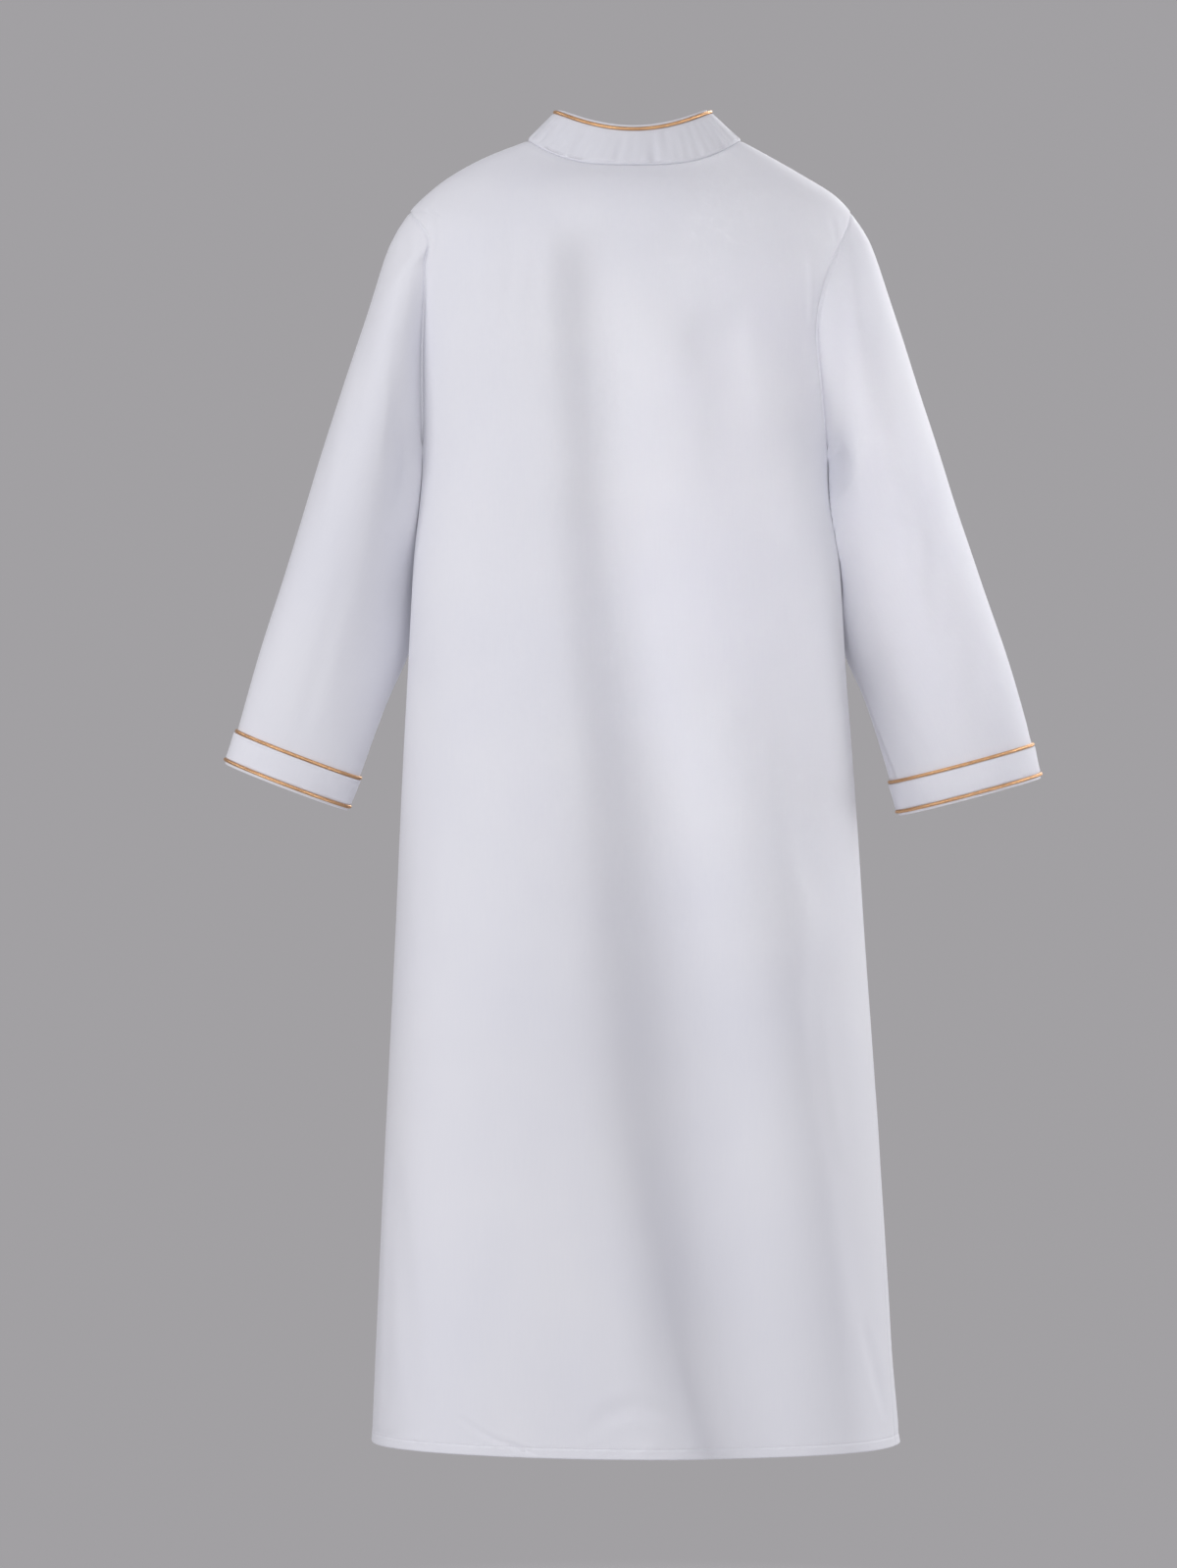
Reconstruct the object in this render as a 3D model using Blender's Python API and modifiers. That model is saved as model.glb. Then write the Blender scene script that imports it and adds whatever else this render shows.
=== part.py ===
# Long white robe with a standing collar, long sleeves and gold corded edges.
#
# The robe keeps the form it has on a wearer, but nobody is in it: every piece is a thin wall and the
# neck, hem and cuffs are open. Frame: +Z up, the front faces -Y, the wearer's left side is +X, and the
# origin lies at the middle of the neck, level with the two points where collar and shoulder seams meet.
#
# A point of the robe is found by its turn round the body (0 degrees at the wearer's left side, 90 at the
# centre back, 180 at the right side, 270 at the centre front) and its drop below the neck points.
# Pieces that are sewn together read the same surface and the same normals along their seam, so their
# rims run parallel, SEAM_GAP apart.

import math
from collections import namedtuple

import bmesh
import bpy
import numpy as np
from mathutils import Vector

# Cloth and trim
CLOTH = 0.0012
LAYER = 0.0012
SEAM_GAP = 0.0003
HEM_TURN = 0.016
CORD_RADIUS = 0.0021
PROUD = 0.0006

# Cut of the body
LENGTH = 1.378
HEM_TILT = 0.002
SHOULDER_DROP = 0.076
UNDERARM_DROP = 0.335
BACK_NECK_DROP = 0.031
FRONT_NECK_DROP = 0.078
NECK_FADE = 0.25
SIDE_SEAM_TURN = math.radians(11)

# Half breadths to the wearer's left and right, and depths behind and before the side line
BodyRing = namedtuple("BodyRing", "drop left right back front")
BODY = (
    BodyRing(0.000, 0.1120, 0.1134, 0.0520, 0.0820),
    BodyRing(0.016, 0.1530, 0.1425, 0.0690, 0.0930),
    BodyRing(0.037, 0.1925, 0.1790, 0.0850, 0.1040),
    BodyRing(0.058, 0.2200, 0.2125, 0.0960, 0.1120),
    BodyRing(0.076, 0.2375, 0.2300, 0.1030, 0.1170),
    BodyRing(0.110, 0.2455, 0.2400, 0.1110, 0.1240),
    BodyRing(0.150, 0.2440, 0.2400, 0.1160, 0.1300),
    BodyRing(0.190, 0.2400, 0.2350, 0.1190, 0.1340),
    BodyRing(0.250, 0.2340, 0.2230, 0.1210, 0.1370),
    BodyRing(0.335, 0.2246, 0.2065, 0.1220, 0.1360),
    BodyRing(0.450, 0.2335, 0.2185, 0.1200, 0.1320),
    BodyRing(0.560, 0.2392, 0.2250, 0.1220, 0.1320),
    BodyRing(0.680, 0.2454, 0.2340, 0.1300, 0.1380),
    BodyRing(0.870, 0.2538, 0.2465, 0.1400, 0.1480),
    BodyRing(1.060, 0.2631, 0.2600, 0.1490, 0.1560),
    BodyRing(1.250, 0.2715, 0.2720, 0.1580, 0.1630),
    BodyRing(1.378, 0.2770, 0.2815, 0.1640, 0.1680),
)

# How far the armhole seam lies in from the body's side line
Armhole = namedtuple("Armhole", "drop left_back right_back left_front right_front")
ARMHOLE = (
    Armhole(0.076, 0.0000, 0.0000, 0.0000, 0.0000),
    Armhole(0.090, 0.0190, 0.0100, 0.0120, 0.0120),
    Armhole(0.105, 0.0310, 0.0190, 0.0210, 0.0200),
    Armhole(0.131, 0.0295, 0.0330, 0.0340, 0.0330),
    Armhole(0.162, 0.0265, 0.0420, 0.0430, 0.0420),
    Armhole(0.191, 0.0220, 0.0436, 0.0450, 0.0430),
    Armhole(0.250, 0.0135, 0.0296, 0.0350, 0.0300),
    Armhole(0.300, 0.0060, 0.0125, 0.0160, 0.0140),
    Armhole(0.335, 0.0000, 0.0000, 0.0000, 0.0000),
)

# Long soft folds: a positive depth is a trough, a negative one a ridge
Fold = namedtuple("Fold", "drop x width depth")
BACK_FOLDS = {
    "centre trough": (
        Fold(0.06, 0.074, 0.022, 0.0010),
        Fold(0.25, 0.059, 0.026, 0.0040),
        Fold(0.45, 0.055, 0.032, 0.0060),
        Fold(0.70, 0.013, 0.038, 0.0090),
        Fold(1.00, -0.004, 0.042, 0.0130),
        Fold(1.20, -0.036, 0.045, 0.0160),
        Fold(1.38, -0.070, 0.048, 0.0190),
    ),
    "ridge beside it": (
        Fold(0.20, -0.004, 0.040, 0.0000),
        Fold(0.45, -0.026, 0.040, -0.0050),
        Fold(0.75, -0.080, 0.042, -0.0080),
        Fold(1.00, -0.111, 0.045, -0.0090),
        Fold(1.20, -0.164, 0.045, -0.0080),
        Fold(1.38, -0.200, 0.040, -0.0060),
    ),
    "right trough": (
        Fold(0.15, -0.125, 0.035, 0.0000),
        Fold(0.35, -0.132, 0.038, 0.0055),
        Fold(0.60, -0.148, 0.036, 0.0060),
        Fold(0.90, -0.176, 0.034, 0.0075),
        Fold(1.15, -0.215, 0.034, 0.0080),
        Fold(1.38, -0.262, 0.034, 0.0060),
    ),
    "left ridge": (
        Fold(0.30, 0.190, 0.035, 0.0000),
        Fold(0.60, 0.200, 0.035, -0.0060),
        Fold(0.82, 0.145, 0.045, -0.0070),
        Fold(1.10, 0.105, 0.055, -0.0070),
        Fold(1.38, 0.090, 0.060, -0.0060),
    ),
    "left trough": (
        Fold(0.60, 0.205, 0.030, 0.0000),
        Fold(0.85, 0.205, 0.035, 0.0050),
        Fold(1.10, 0.195, 0.040, 0.0070),
        Fold(1.38, 0.190, 0.040, 0.0060),
    ),
}
FRONT_FOLDS = {
    "left trough": (
        Fold(0.20, 0.120, 0.030, 0.0000),
        Fold(0.50, 0.110, 0.036, 0.0060),
        Fold(0.90, 0.118, 0.042, 0.0110),
        Fold(1.38, 0.145, 0.048, 0.0160),
    ),
    "middle ridge": (
        Fold(0.45, 0.020, 0.040, 0.0000),
        Fold(0.80, 0.030, 0.045, -0.0050),
        Fold(1.38, 0.045, 0.055, -0.0090),
    ),
    "right trough": (
        Fold(0.25, -0.105, 0.030, 0.0000),
        Fold(0.60, -0.095, 0.036, 0.0060),
        Fold(1.00, -0.070, 0.040, 0.0100),
        Fold(1.38, -0.055, 0.045, 0.0150),
    ),
    "right ridge": (
        Fold(0.50, -0.160, 0.035, 0.0000),
        Fold(0.95, -0.165, 0.042, -0.0060),
        Fold(1.38, -0.175, 0.048, -0.0080),
    ),
}

# Sleeves: the outer and inner edge of each ring, how far forward its middle hangs, its half depth, and
# how much further forward its inner edge lies, where the sleeve hangs before the body's side
SleeveRing = namedtuple("SleeveRing", "outer_x outer_drop inner_x inner_drop forward depth nose")
SLEEVES = {
    "left": (
        SleeveRing(0.2375, 0.0760, 0.2246, 0.3350, 0.000, 0.057, 0.000),
        SleeveRing(0.2520, 0.0985, 0.2285, 0.3410, 0.002, 0.068, 0.006),
        SleeveRing(0.2640, 0.1250, 0.2320, 0.3500, 0.004, 0.076, 0.014),
        SleeveRing(0.2840, 0.1870, 0.2320, 0.3720, 0.008, 0.083, 0.026),
        SleeveRing(0.3050, 0.2480, 0.2290, 0.4050, 0.012, 0.084, 0.036),
        SleeveRing(0.3285, 0.3190, 0.2275, 0.4480, 0.017, 0.080, 0.040),
        SleeveRing(0.3520, 0.3960, 0.2295, 0.4920, 0.022, 0.073, 0.040),
        SleeveRing(0.3740, 0.4660, 0.2390, 0.5380, 0.027, 0.065, 0.032),
        SleeveRing(0.4000, 0.5450, 0.2640, 0.5970, 0.033, 0.055, 0.014),
        SleeveRing(0.4231, 0.6257, 0.2929, 0.6755, 0.040, 0.045, 0.000),
    ),
    "right": (
        SleeveRing(0.2300, 0.0760, 0.2065, 0.3350, 0.000, 0.062, 0.000),
        SleeveRing(0.2455, 0.0985, 0.2110, 0.3420, 0.002, 0.071, 0.006),
        SleeveRing(0.2575, 0.1250, 0.2150, 0.3520, 0.004, 0.078, 0.014),
        SleeveRing(0.2780, 0.1870, 0.2165, 0.3760, 0.008, 0.084, 0.026),
        SleeveRing(0.2980, 0.2480, 0.2150, 0.4110, 0.012, 0.084, 0.036),
        SleeveRing(0.3210, 0.3190, 0.2140, 0.4550, 0.017, 0.080, 0.040),
        SleeveRing(0.3460, 0.3960, 0.2165, 0.5000, 0.022, 0.074, 0.040),
        SleeveRing(0.3690, 0.4640, 0.2270, 0.5460, 0.027, 0.067, 0.032),
        SleeveRing(0.3965, 0.5430, 0.2500, 0.6020, 0.033, 0.057, 0.014),
        SleeveRing(0.4252, 0.6400, 0.2741, 0.6800, 0.040, 0.047, 0.000),
    ),
}
SLEEVE_LEAN = math.radians(5)
ARMHOLE_FADE = 3.0
SIDE_SIGN = {"left": 1, "right": -1}

# Cuffs
CUFF_HEIGHT = 0.0345
CUFF_TAPER = 0.985
CUFF_TUCK = 0.007

# Collar: the ring of its top edge
COLLAR_TOP_LEFT = 0.082
COLLAR_TOP_RIGHT = 0.080
COLLAR_TOP_BACK = 0.044
COLLAR_TOP_FRONT = 0.072
COLLAR_TOP_RISE = 0.031
COLLAR_TOP_BACK_DIP = 0.024
COLLAR_TOP_FRONT_DIP = 0.072
CORD_LIP = 0.0012
LAP_STARTS = math.radians(-78)
LAP_ENDS = math.radians(-45)
CORD_SHORT_BY = 3

# Front opening
PLACKET_HALF_WIDTH = 0.015
PLACKET_SKIRT_ROWS = 1
PLACKET_TOP_SET_BACK = 0.15
BUTTON_ROWS = (5, 11, 16)
BUTTON_RADIUS = 0.0058
BUTTON_THICKNESS = 0.0026
BUTTON_SIDES = 16

# Fineness of the pieces: columns across, and rows from neck to shoulder tip, to underarm and to hem
BACK_COLUMNS = 34
FRONT_SIDE_COLUMNS = 12
SHOULDER_ROWS = 4
ARMHOLE_ROWS = 12
SKIRT_ROWS = 11
SKIRT_CROWDING = 1.3
SLEEVE_ROWS = 12

WHITE_CLOTH = (0.72, 0.71, 0.80, 1.0)
GOLD_CORD = (0.62, 0.30, 0.11, 1.0)
WHITE_BUTTON = (0.80, 0.79, 0.82, 1.0)


def column(table, name):
    return np.array([getattr(row, name) for row in table])


def smooth(knots, values, at):
    """Read a smooth curve through the given knots at each of the places in at."""
    slopes = np.gradient(values, knots)
    at = np.clip(at, knots[0], knots[-1])
    low = np.clip(np.searchsorted(knots, at, side="right") - 1, 0, len(knots) - 2)
    span = knots[low + 1] - knots[low]
    t = (at - knots[low]) / span
    rise = 3 * t ** 2 - 2 * t ** 3
    return (
        values[low] * (1 - rise)
        + values[low + 1] * rise
        + span * slopes[low] * (t ** 3 - 2 * t ** 2 + t)
        + span * slopes[low + 1] * (t ** 3 - t ** 2)
    )


def ease(low, high, at):
    t = np.clip((at - low) / (high - low), 0, 1)
    return t * t * (3 - 2 * t)


def unit(vectors):
    return vectors / np.linalg.norm(vectors, axis=-1, keepdims=True)


# Form of the body

def fold_depth(folds, x, drop):
    depth = np.zeros_like(x)
    for rows in folds.values():
        drops = column(rows, "drop")
        middle = smooth(drops, column(rows, "x"), drop)
        width = smooth(drops, column(rows, "width"), drop)
        size = smooth(drops, column(rows, "depth"), drop)
        fade = ease(drops[0] - 0.05, drops[0], drop)
        depth += size * fade * np.exp(-(((x - middle) / width) ** 2))
    return depth


def body_surface(turn, drop):
    """Points of the robe's outer face, for arrays of turns round the body and drops below the neck."""
    turn, drop = np.broadcast_arrays(np.asarray(turn, float), np.asarray(drop, float))
    drops = column(BODY, "drop")
    cosine = np.cos(turn)
    sine = np.sin(turn)
    left = smooth(drops, column(BODY, "left"), drop)
    right = smooth(drops, column(BODY, "right"), drop)
    back = smooth(drops, column(BODY, "back"), drop)
    front = smooth(drops, column(BODY, "front"), drop)
    breadth = np.where(cosine > 0, left, right)
    depth = np.where(sine > 0, back, front)
    x = breadth * cosine
    y = depth * sine
    neck = np.where(sine > 0, BACK_NECK_DROP, FRONT_NECK_DROP) * (1 - np.abs(cosine) ** 3)
    neck *= np.clip(1 - drop / NECK_FADE, 0, None) ** 2
    z = -drop - neck + HEM_TILT * cosine * (drop / LENGTH) ** 2
    inward = np.where(sine > 0, fold_depth(BACK_FOLDS, x, drop), fold_depth(FRONT_FOLDS, x, drop))
    inward *= 1 - cosine ** 8
    outward = unit(np.stack((cosine / breadth, sine / depth, np.zeros_like(turn)), axis=-1))
    return np.stack((x, y, z), axis=-1) - inward[..., None] * outward


def body_normals(turn, drop):
    step = 1e-4
    across = body_surface(turn + step, drop) - body_surface(turn - step, drop)
    down = body_surface(turn, drop + step) - body_surface(turn, drop - step)
    return unit(np.cross(down, across))


def armhole_turn(edge, drop):
    """Turn from the side line to the armhole seam; zero above the shoulder and below the underarm."""
    inset = smooth(column(ARMHOLE, "drop"), column(ARMHOLE, edge), drop)
    side = edge.split("_")[0]
    breadth = smooth(column(BODY, "drop"), column(BODY, side), drop)
    return np.arccos(np.clip(1 - inset / breadth, -1, 1))


def side_seam_turn(drop):
    return SIDE_SEAM_TURN * ease(UNDERARM_DROP, LENGTH, drop)


def armhole_drops():
    """Drops of the armhole's points, somewhat closer together at the shoulder and underarm."""
    even = np.linspace(0, 1, ARMHOLE_ROWS + 1)
    crowded = (1 - np.cos(math.pi * even)) / 2
    return SHOULDER_DROP + (UNDERARM_DROP - SHOULDER_DROP) * (even + crowded) / 2


def panel_drops():
    shoulder = np.linspace(0, SHOULDER_DROP, SHOULDER_ROWS + 1)
    below = (np.arange(1, SKIRT_ROWS + 1) / SKIRT_ROWS) ** SKIRT_CROWDING
    skirt = UNDERARM_DROP + (LENGTH - HEM_TURN - UNDERARM_DROP) * below
    return np.concatenate((shoulder, armhole_drops()[1:], skirt, (LENGTH,)))


def spread(half_turns, inset):
    """Crowd the columns of a quarter turn away from its side line, most at the side."""
    return half_turns + inset * (1 - 2 * half_turns / math.pi) ** 2


def back_turns(drop):
    quarter = np.linspace(0, math.pi / 2, BACK_COLUMNS // 2 + 1)
    left = spread(quarter, armhole_turn("left_back", drop))
    right = spread(quarter, armhole_turn("right_back", drop) + side_seam_turn(drop))
    return np.concatenate((left, math.pi - right[-2::-1]))


def placket_turn(drop):
    breadth = smooth(column(BODY, "drop"), column(BODY, "left"), drop)
    return math.asin(PLACKET_HALF_WIDTH / breadth)


def front_turns(drop):
    middle = 1.5 * math.pi
    quarter = np.linspace(0, math.pi / 2 - placket_turn(drop), FRONT_SIDE_COLUMNS + 1)
    right = spread(quarter, armhole_turn("right_front", drop) - side_seam_turn(drop))
    left = spread(quarter, armhole_turn("left_front", drop))
    return np.concatenate((math.pi + right, (middle,), 2 * math.pi - left[::-1]))


# Meshes

def set_in(edge, normals, inward_hint, closed):
    """Shift a rim by half the seam's gap, square to its edges and along the cloth."""
    ahead = unit(np.roll(edge, -1, axis=0) - edge)
    behind = np.roll(ahead, 1, axis=0)
    if not closed:
        ahead[-1] = behind[-1]
        behind[0] = ahead[0]
    first = unit(np.cross(behind, normals))
    second = unit(np.cross(ahead, normals))
    if np.sum(first * inward_hint) < 0:
        first = -first
        second = -second
    share = 1 + np.sum(first * second, axis=-1, keepdims=True)
    return edge + SEAM_GAP / 2 * (first + second) / share


def rim_of_panel(rows, columns):
    """Row and column of each point round the rim of a panel, in order."""
    top = [(0, c) for c in range(columns)]
    right = [(r, columns - 1) for r in range(1, rows)]
    bottom = [(rows - 1, c) for c in range(columns - 2, -1, -1)]
    left = [(r, 0) for r in range(rows - 2, 0, -1)]
    return np.array(top + right + bottom + left)


def grid_faces(rows, columns, closed):
    faces = []
    for r in range(rows - 1):
        for c in range(columns if closed else columns - 1):
            a = r * columns + c
            b = r * columns + (c + 1) % columns
            faces.append((a, a + columns, b + columns))
            faces.append((a, b + columns, b))
    return faces


def strip_faces(outer, inner, closed):
    faces = []
    for i in range(len(outer) if closed else len(outer) - 1):
        j = (i + 1) % len(outer)
        faces.append((outer[i], outer[j], inner[j]))
        faces.append((outer[i], inner[j], inner[i]))
    return faces


def add_object(name, points, faces, material):
    mesh = bpy.data.meshes.new(name)
    mesh.from_pydata([tuple(p) for p in points], [], faces)
    solid = bmesh.new()
    solid.from_mesh(mesh)
    bmesh.ops.recalc_face_normals(solid, faces=solid.faces)
    solid.to_mesh(mesh)
    solid.free()
    mesh.shade_smooth()
    mesh.set_sharp_from_angle(angle=math.radians(50))
    piece = bpy.data.objects.new(name, mesh)
    piece.data.materials.append(material)
    robe.objects.link(piece)
    return piece


def add_wall(name, outer, normals, thickness, closed, material):
    """Cloth between a grid of outer points and the same points moved in; closed grids are tubes."""
    rows, columns = outer.shape[:2]
    inner = outer - normals * np.broadcast_to(thickness, (rows,))[:, None, None]
    count = rows * columns
    outside = grid_faces(rows, columns, closed)
    inside = [tuple(count + i for i in reversed(face)) for face in outside]
    if closed:
        rims = [np.arange(columns), np.arange(count - columns, count)]
    else:
        rims = [rim_of_panel(rows, columns) @ (columns, 1)]
    faces = outside + inside
    for rim in rims:
        rim = [int(i) for i in rim]
        faces += strip_faces(rim, [i + count for i in rim], closed=True)
    points = np.concatenate((outer.reshape(-1, 3), inner.reshape(-1, 3)))
    return add_object(name, points, faces, material)


def add_band(name, sections, closed, material):
    """Solid through a row of equal sections, each a closed outline of points."""
    count, size = sections.shape[:2]
    faces = []
    for i in range(count if closed else count - 1):
        here = [i * size + k for k in range(size)]
        there = [((i + 1) % count) * size + k for k in range(size)]
        faces += strip_faces(here, there, closed=True)
    if not closed:
        faces.append(tuple(range(size)))
        faces.append(tuple(range((count - 1) * size, count * size)))
    return add_object(name, sections.reshape(-1, 3), faces, material)


def add_cord(name, path, closed, material):
    curve = bpy.data.curves.new(name, "CURVE")
    curve.dimensions = "3D"
    curve.bevel_depth = CORD_RADIUS
    curve.bevel_resolution = 1
    curve.use_fill_caps = True
    spline = curve.splines.new("POLY")
    spline.points.add(len(path) - 1)
    for point, place in zip(spline.points, path):
        point.co = (*place, 1)
    spline.use_cyclic_u = closed
    cord = bpy.data.objects.new(name, curve)
    curve.materials.append(material)
    robe.objects.link(cord)
    return cord


def add_material(name, colour, roughness, metallic):
    material = bpy.data.materials.new(name)
    material.use_nodes = True
    shader = material.node_tree.nodes["Principled BSDF"]
    shader.inputs["Base Color"].default_value = colour
    shader.inputs["Roughness"].default_value = roughness
    shader.inputs["Metallic"].default_value = metallic
    material.diffuse_color = colour
    return material


# Panels

def panel_grid(turns_at):
    drops = panel_drops()
    turns = np.array([turns_at(drop) for drop in drops])
    drops = np.repeat(drops[:, None], turns.shape[1], axis=1)
    return body_surface(turns, drops), body_normals(turns, drops)


def panel_thickness(rows):
    thickness = np.full(rows, CLOTH)
    thickness[-2:] = 2 * CLOTH
    return thickness


def add_panel(name, turns_at):
    outer, normals = panel_grid(turns_at)
    rows, columns = outer.shape[:2]
    armhole = slice(SHOULDER_ROWS, SHOULDER_ROWS + ARMHOLE_ROWS + 1)
    for side in SLEEVES:
        seam_normals = armhole_seam(side)[1]
        if name == "front":
            seam_normals = np.roll(seam_normals[::-1], 1, axis=0)
        first_column = (name == "back") == (side == "left")
        normals[armhole, 0 if first_column else -1] = seam_normals[:ARMHOLE_ROWS + 1]
    r, c = rim_of_panel(rows, columns).T
    middle = outer[rows // 2, columns // 2]
    outer[r, c] = set_in(outer[r, c], normals[r, c], middle - outer[r, c], closed=True)
    add_wall(name, outer, normals, panel_thickness(rows), False, cloth)


def add_placket():
    """Strip over the middle columns of the front, made from the front's own points, moved out."""
    outer, normals = panel_grid(front_turns)
    end = SHOULDER_ROWS + ARMHOLE_ROWS + 1 + PLACKET_SKIRT_ROWS
    columns = slice(FRONT_SIDE_COLUMNS, FRONT_SIDE_COLUMNS + 3)
    outer = outer[:end, columns]
    normals = normals[:end, columns]
    outer[0] += (outer[1] - outer[0]) * PLACKET_TOP_SET_BACK
    lift = SEAM_GAP + CLOTH
    add_wall("placket", outer + normals * lift, normals, CLOTH, False, cloth)
    return outer[:, 1] + normals[:, 1] * lift, normals[:, 1]


def add_button(name, seat, normal):
    bpy.ops.mesh.primitive_cylinder_add(
        vertices=BUTTON_SIDES,
        radius=BUTTON_RADIUS,
        depth=BUTTON_THICKNESS,
    )
    button = bpy.context.object
    button.name = name
    direction = Vector(normal)
    button.location = Vector(seat) + direction * (SEAM_GAP + BUTTON_THICKNESS / 2)
    button.rotation_euler = direction.to_track_quat("Z", "Y").to_euler()
    bevel = button.modifiers.new("rounded rim", "BEVEL")
    bevel.width = 0.0007
    bevel.segments = 2
    bevel.limit_method = "ANGLE"
    button.data.materials.append(button_finish)
    button.data.shade_smooth()
    for collection in button.users_collection:
        collection.objects.unlink(button)
    robe.objects.link(button)


# Sleeves and cuffs

def sleeve_frame(side, along):
    """Middle, half-breadth, half-depth and nose vectors of a sleeve ring at a place in its table."""
    rows = SLEEVES[side]
    places = np.arange(len(rows), dtype=float)
    read = {name: smooth(places, column(rows, name), along) for name in SleeveRing._fields}
    sign = SIDE_SIGN[side]
    outer = np.array((sign * read["outer_x"], -read["forward"], -read["outer_drop"]))
    inner = np.array((sign * read["inner_x"], -read["forward"], -read["inner_drop"]))
    lean = SLEEVE_LEAN * along / places[-1]
    depth = read["depth"] * np.array((0, math.cos(lean), -math.sin(lean)))
    nose = np.array((0, -read["nose"], 0))
    return (outer + inner) / 2, (outer - inner) / 2, depth, nose


def ring_turns(place):
    """Turns round a sleeve ring: those of the armhole's points at the top, even ones further down."""
    drops = armhole_drops()
    armhole = np.arccos(1 - 2 * (drops - SHOULDER_DROP) / (UNDERARM_DROP - SHOULDER_DROP))
    armhole = np.concatenate((armhole, 2 * math.pi - armhole[-2:0:-1]))
    even = np.linspace(0, 2 * math.pi, 2 * ARMHOLE_ROWS, endpoint=False)
    return (armhole + (even - armhole) * ease(0, ARMHOLE_FADE, place))[:, None]


def ring(frame, place):
    middle, breadth, depth, nose = frame
    turns = ring_turns(place)
    inward = ((1 - np.cos(turns)) / 2) ** 1.5
    return middle + np.cos(turns) * breadth + np.sin(turns) * depth + inward * nose


def cuff_normals(frame):
    middle, breadth, depth, nose = frame
    turns = ring_turns(ARMHOLE_FADE)
    size = np.linalg.norm(breadth)
    deep = np.linalg.norm(depth)
    return unit(np.cos(turns) * breadth / size ** 2 + np.sin(turns) * depth / deep ** 2)


def armhole_loop(side):
    """Seam line of one armhole, from the shoulder down the back and up the front, with its normals."""
    drops = armhole_drops()
    back = armhole_turn(side + "_back", drops)
    front = armhole_turn(side + "_front", drops)
    if side == "left":
        turns = np.concatenate((back, -front[-2:0:-1]))
    else:
        turns = np.concatenate((math.pi - back, math.pi + front[-2:0:-1]))
    drops = np.concatenate((drops, drops[-2:0:-1]))
    return body_surface(turns, drops), body_normals(turns, drops)


def cuff_frame(side, along):
    """Frame of the cuff's ring at a distance below the line where sleeve and cuff meet."""
    middle, breadth, depth, nose = sleeve_frame(side, len(SLEEVES[side]) - 1)
    axis = unit(np.cross(breadth, depth))
    if axis[2] > 0:
        axis = -axis
    scale = 1 - (1 - CUFF_TAPER) * along / CUFF_HEIGHT
    return middle + axis * along, breadth * scale, depth * scale, nose


def sleeve_grid(side):
    """Rings of a sleeve's outer face from its armhole to inside its cuff, with their normals."""
    seam = armhole_loop(side)[0]
    last = len(SLEEVES[side]) - 1
    places = last * (np.arange(SLEEVE_ROWS + 1) / SLEEVE_ROWS) ** 1.1
    start = ring(sleeve_frame(side, 0.0), 0.0)
    rows = []
    for place in places:
        fade = 1 - ease(0, ARMHOLE_FADE, place)
        rows.append(ring(sleeve_frame(side, place), place) + (seam - start) * fade)
    rows.append(ring(cuff_frame(side, CUFF_TUCK), last))
    outer = np.array(rows)
    along = np.gradient(outer, axis=0)
    round_ring = np.roll(outer, -1, axis=1) - np.roll(outer, 1, axis=1)
    return outer, unit(np.cross(along, round_ring)) * SIDE_SIGN[side]


def armhole_seam(side):
    """Seam line of one armhole and, half way between body and sleeve, the normals that both take there."""
    seam, body = armhole_loop(side)
    sleeve = sleeve_grid(side)[1][0]
    return seam, unit(body + sleeve)


def add_sleeve(side):
    outer, normals = sleeve_grid(side)
    normals[0] = armhole_seam(side)[1]
    outer[0] = set_in(outer[0], normals[0], outer[1] - outer[0], closed=True)
    add_wall("sleeve_" + side, outer, normals, CLOTH, True, cloth)


def cuff_points(side, along, lift):
    frame = cuff_frame(side, along)
    return ring(frame, ARMHOLE_FADE) + cuff_normals(frame) * lift


def add_cuff(side):
    """Two-layer band outside the sleeve's end; the cords lie at its top and in a notch at its foot."""
    inside = SEAM_GAP
    between = inside + LAYER
    outside = between + LAYER
    top = CORD_RADIUS + SEAM_GAP
    notch = CUFF_HEIGHT - 2 * CORD_RADIUS - SEAM_GAP
    outline = (
        (top, inside),
        (top, outside),
        (notch, outside),
        (notch, between),
        (CUFF_HEIGHT + CORD_LIP, between),
        (CUFF_HEIGHT + CORD_LIP, inside),
    )
    sections = np.stack([cuff_points(side, along, lift) for along, lift in outline], axis=1)
    add_band("cuff_" + side, sections, True, cloth)
    upper = cuff_points(side, 0.0, SEAM_GAP + CORD_RADIUS)
    lower = cuff_points(side, notch + SEAM_GAP + CORD_RADIUS, between + SEAM_GAP + CORD_RADIUS)
    add_cord(f"piping_cuff_{side}_upper", upper, True, cord)
    add_cord(f"piping_cuff_{side}_lower", lower, True, cord)


# Collar

def collar_turns():
    """Turns of the neck's points from the over lap at the front, round the back, to the under lap."""
    half = placket_turn(0.0)
    front = front_turns(0.0)
    back = back_turns(0.0)
    left = front[FRONT_SIDE_COLUMNS:] - 2 * math.pi
    right = front[1:FRONT_SIDE_COLUMNS + 2]
    return np.concatenate((left, back[1:], right, (1.5 * math.pi + half,)))


def collar_top(turn):
    cosine = np.cos(turn)
    sine = np.sin(turn)
    x = np.where(cosine > 0, COLLAR_TOP_LEFT, COLLAR_TOP_RIGHT) * cosine
    y = np.where(sine > 0, COLLAR_TOP_BACK, COLLAR_TOP_FRONT) * sine
    dip = np.where(sine > 0, COLLAR_TOP_BACK_DIP, COLLAR_TOP_FRONT_DIP)
    return np.stack((x, y, COLLAR_TOP_RISE - dip * sine ** 2), axis=-1)


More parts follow.
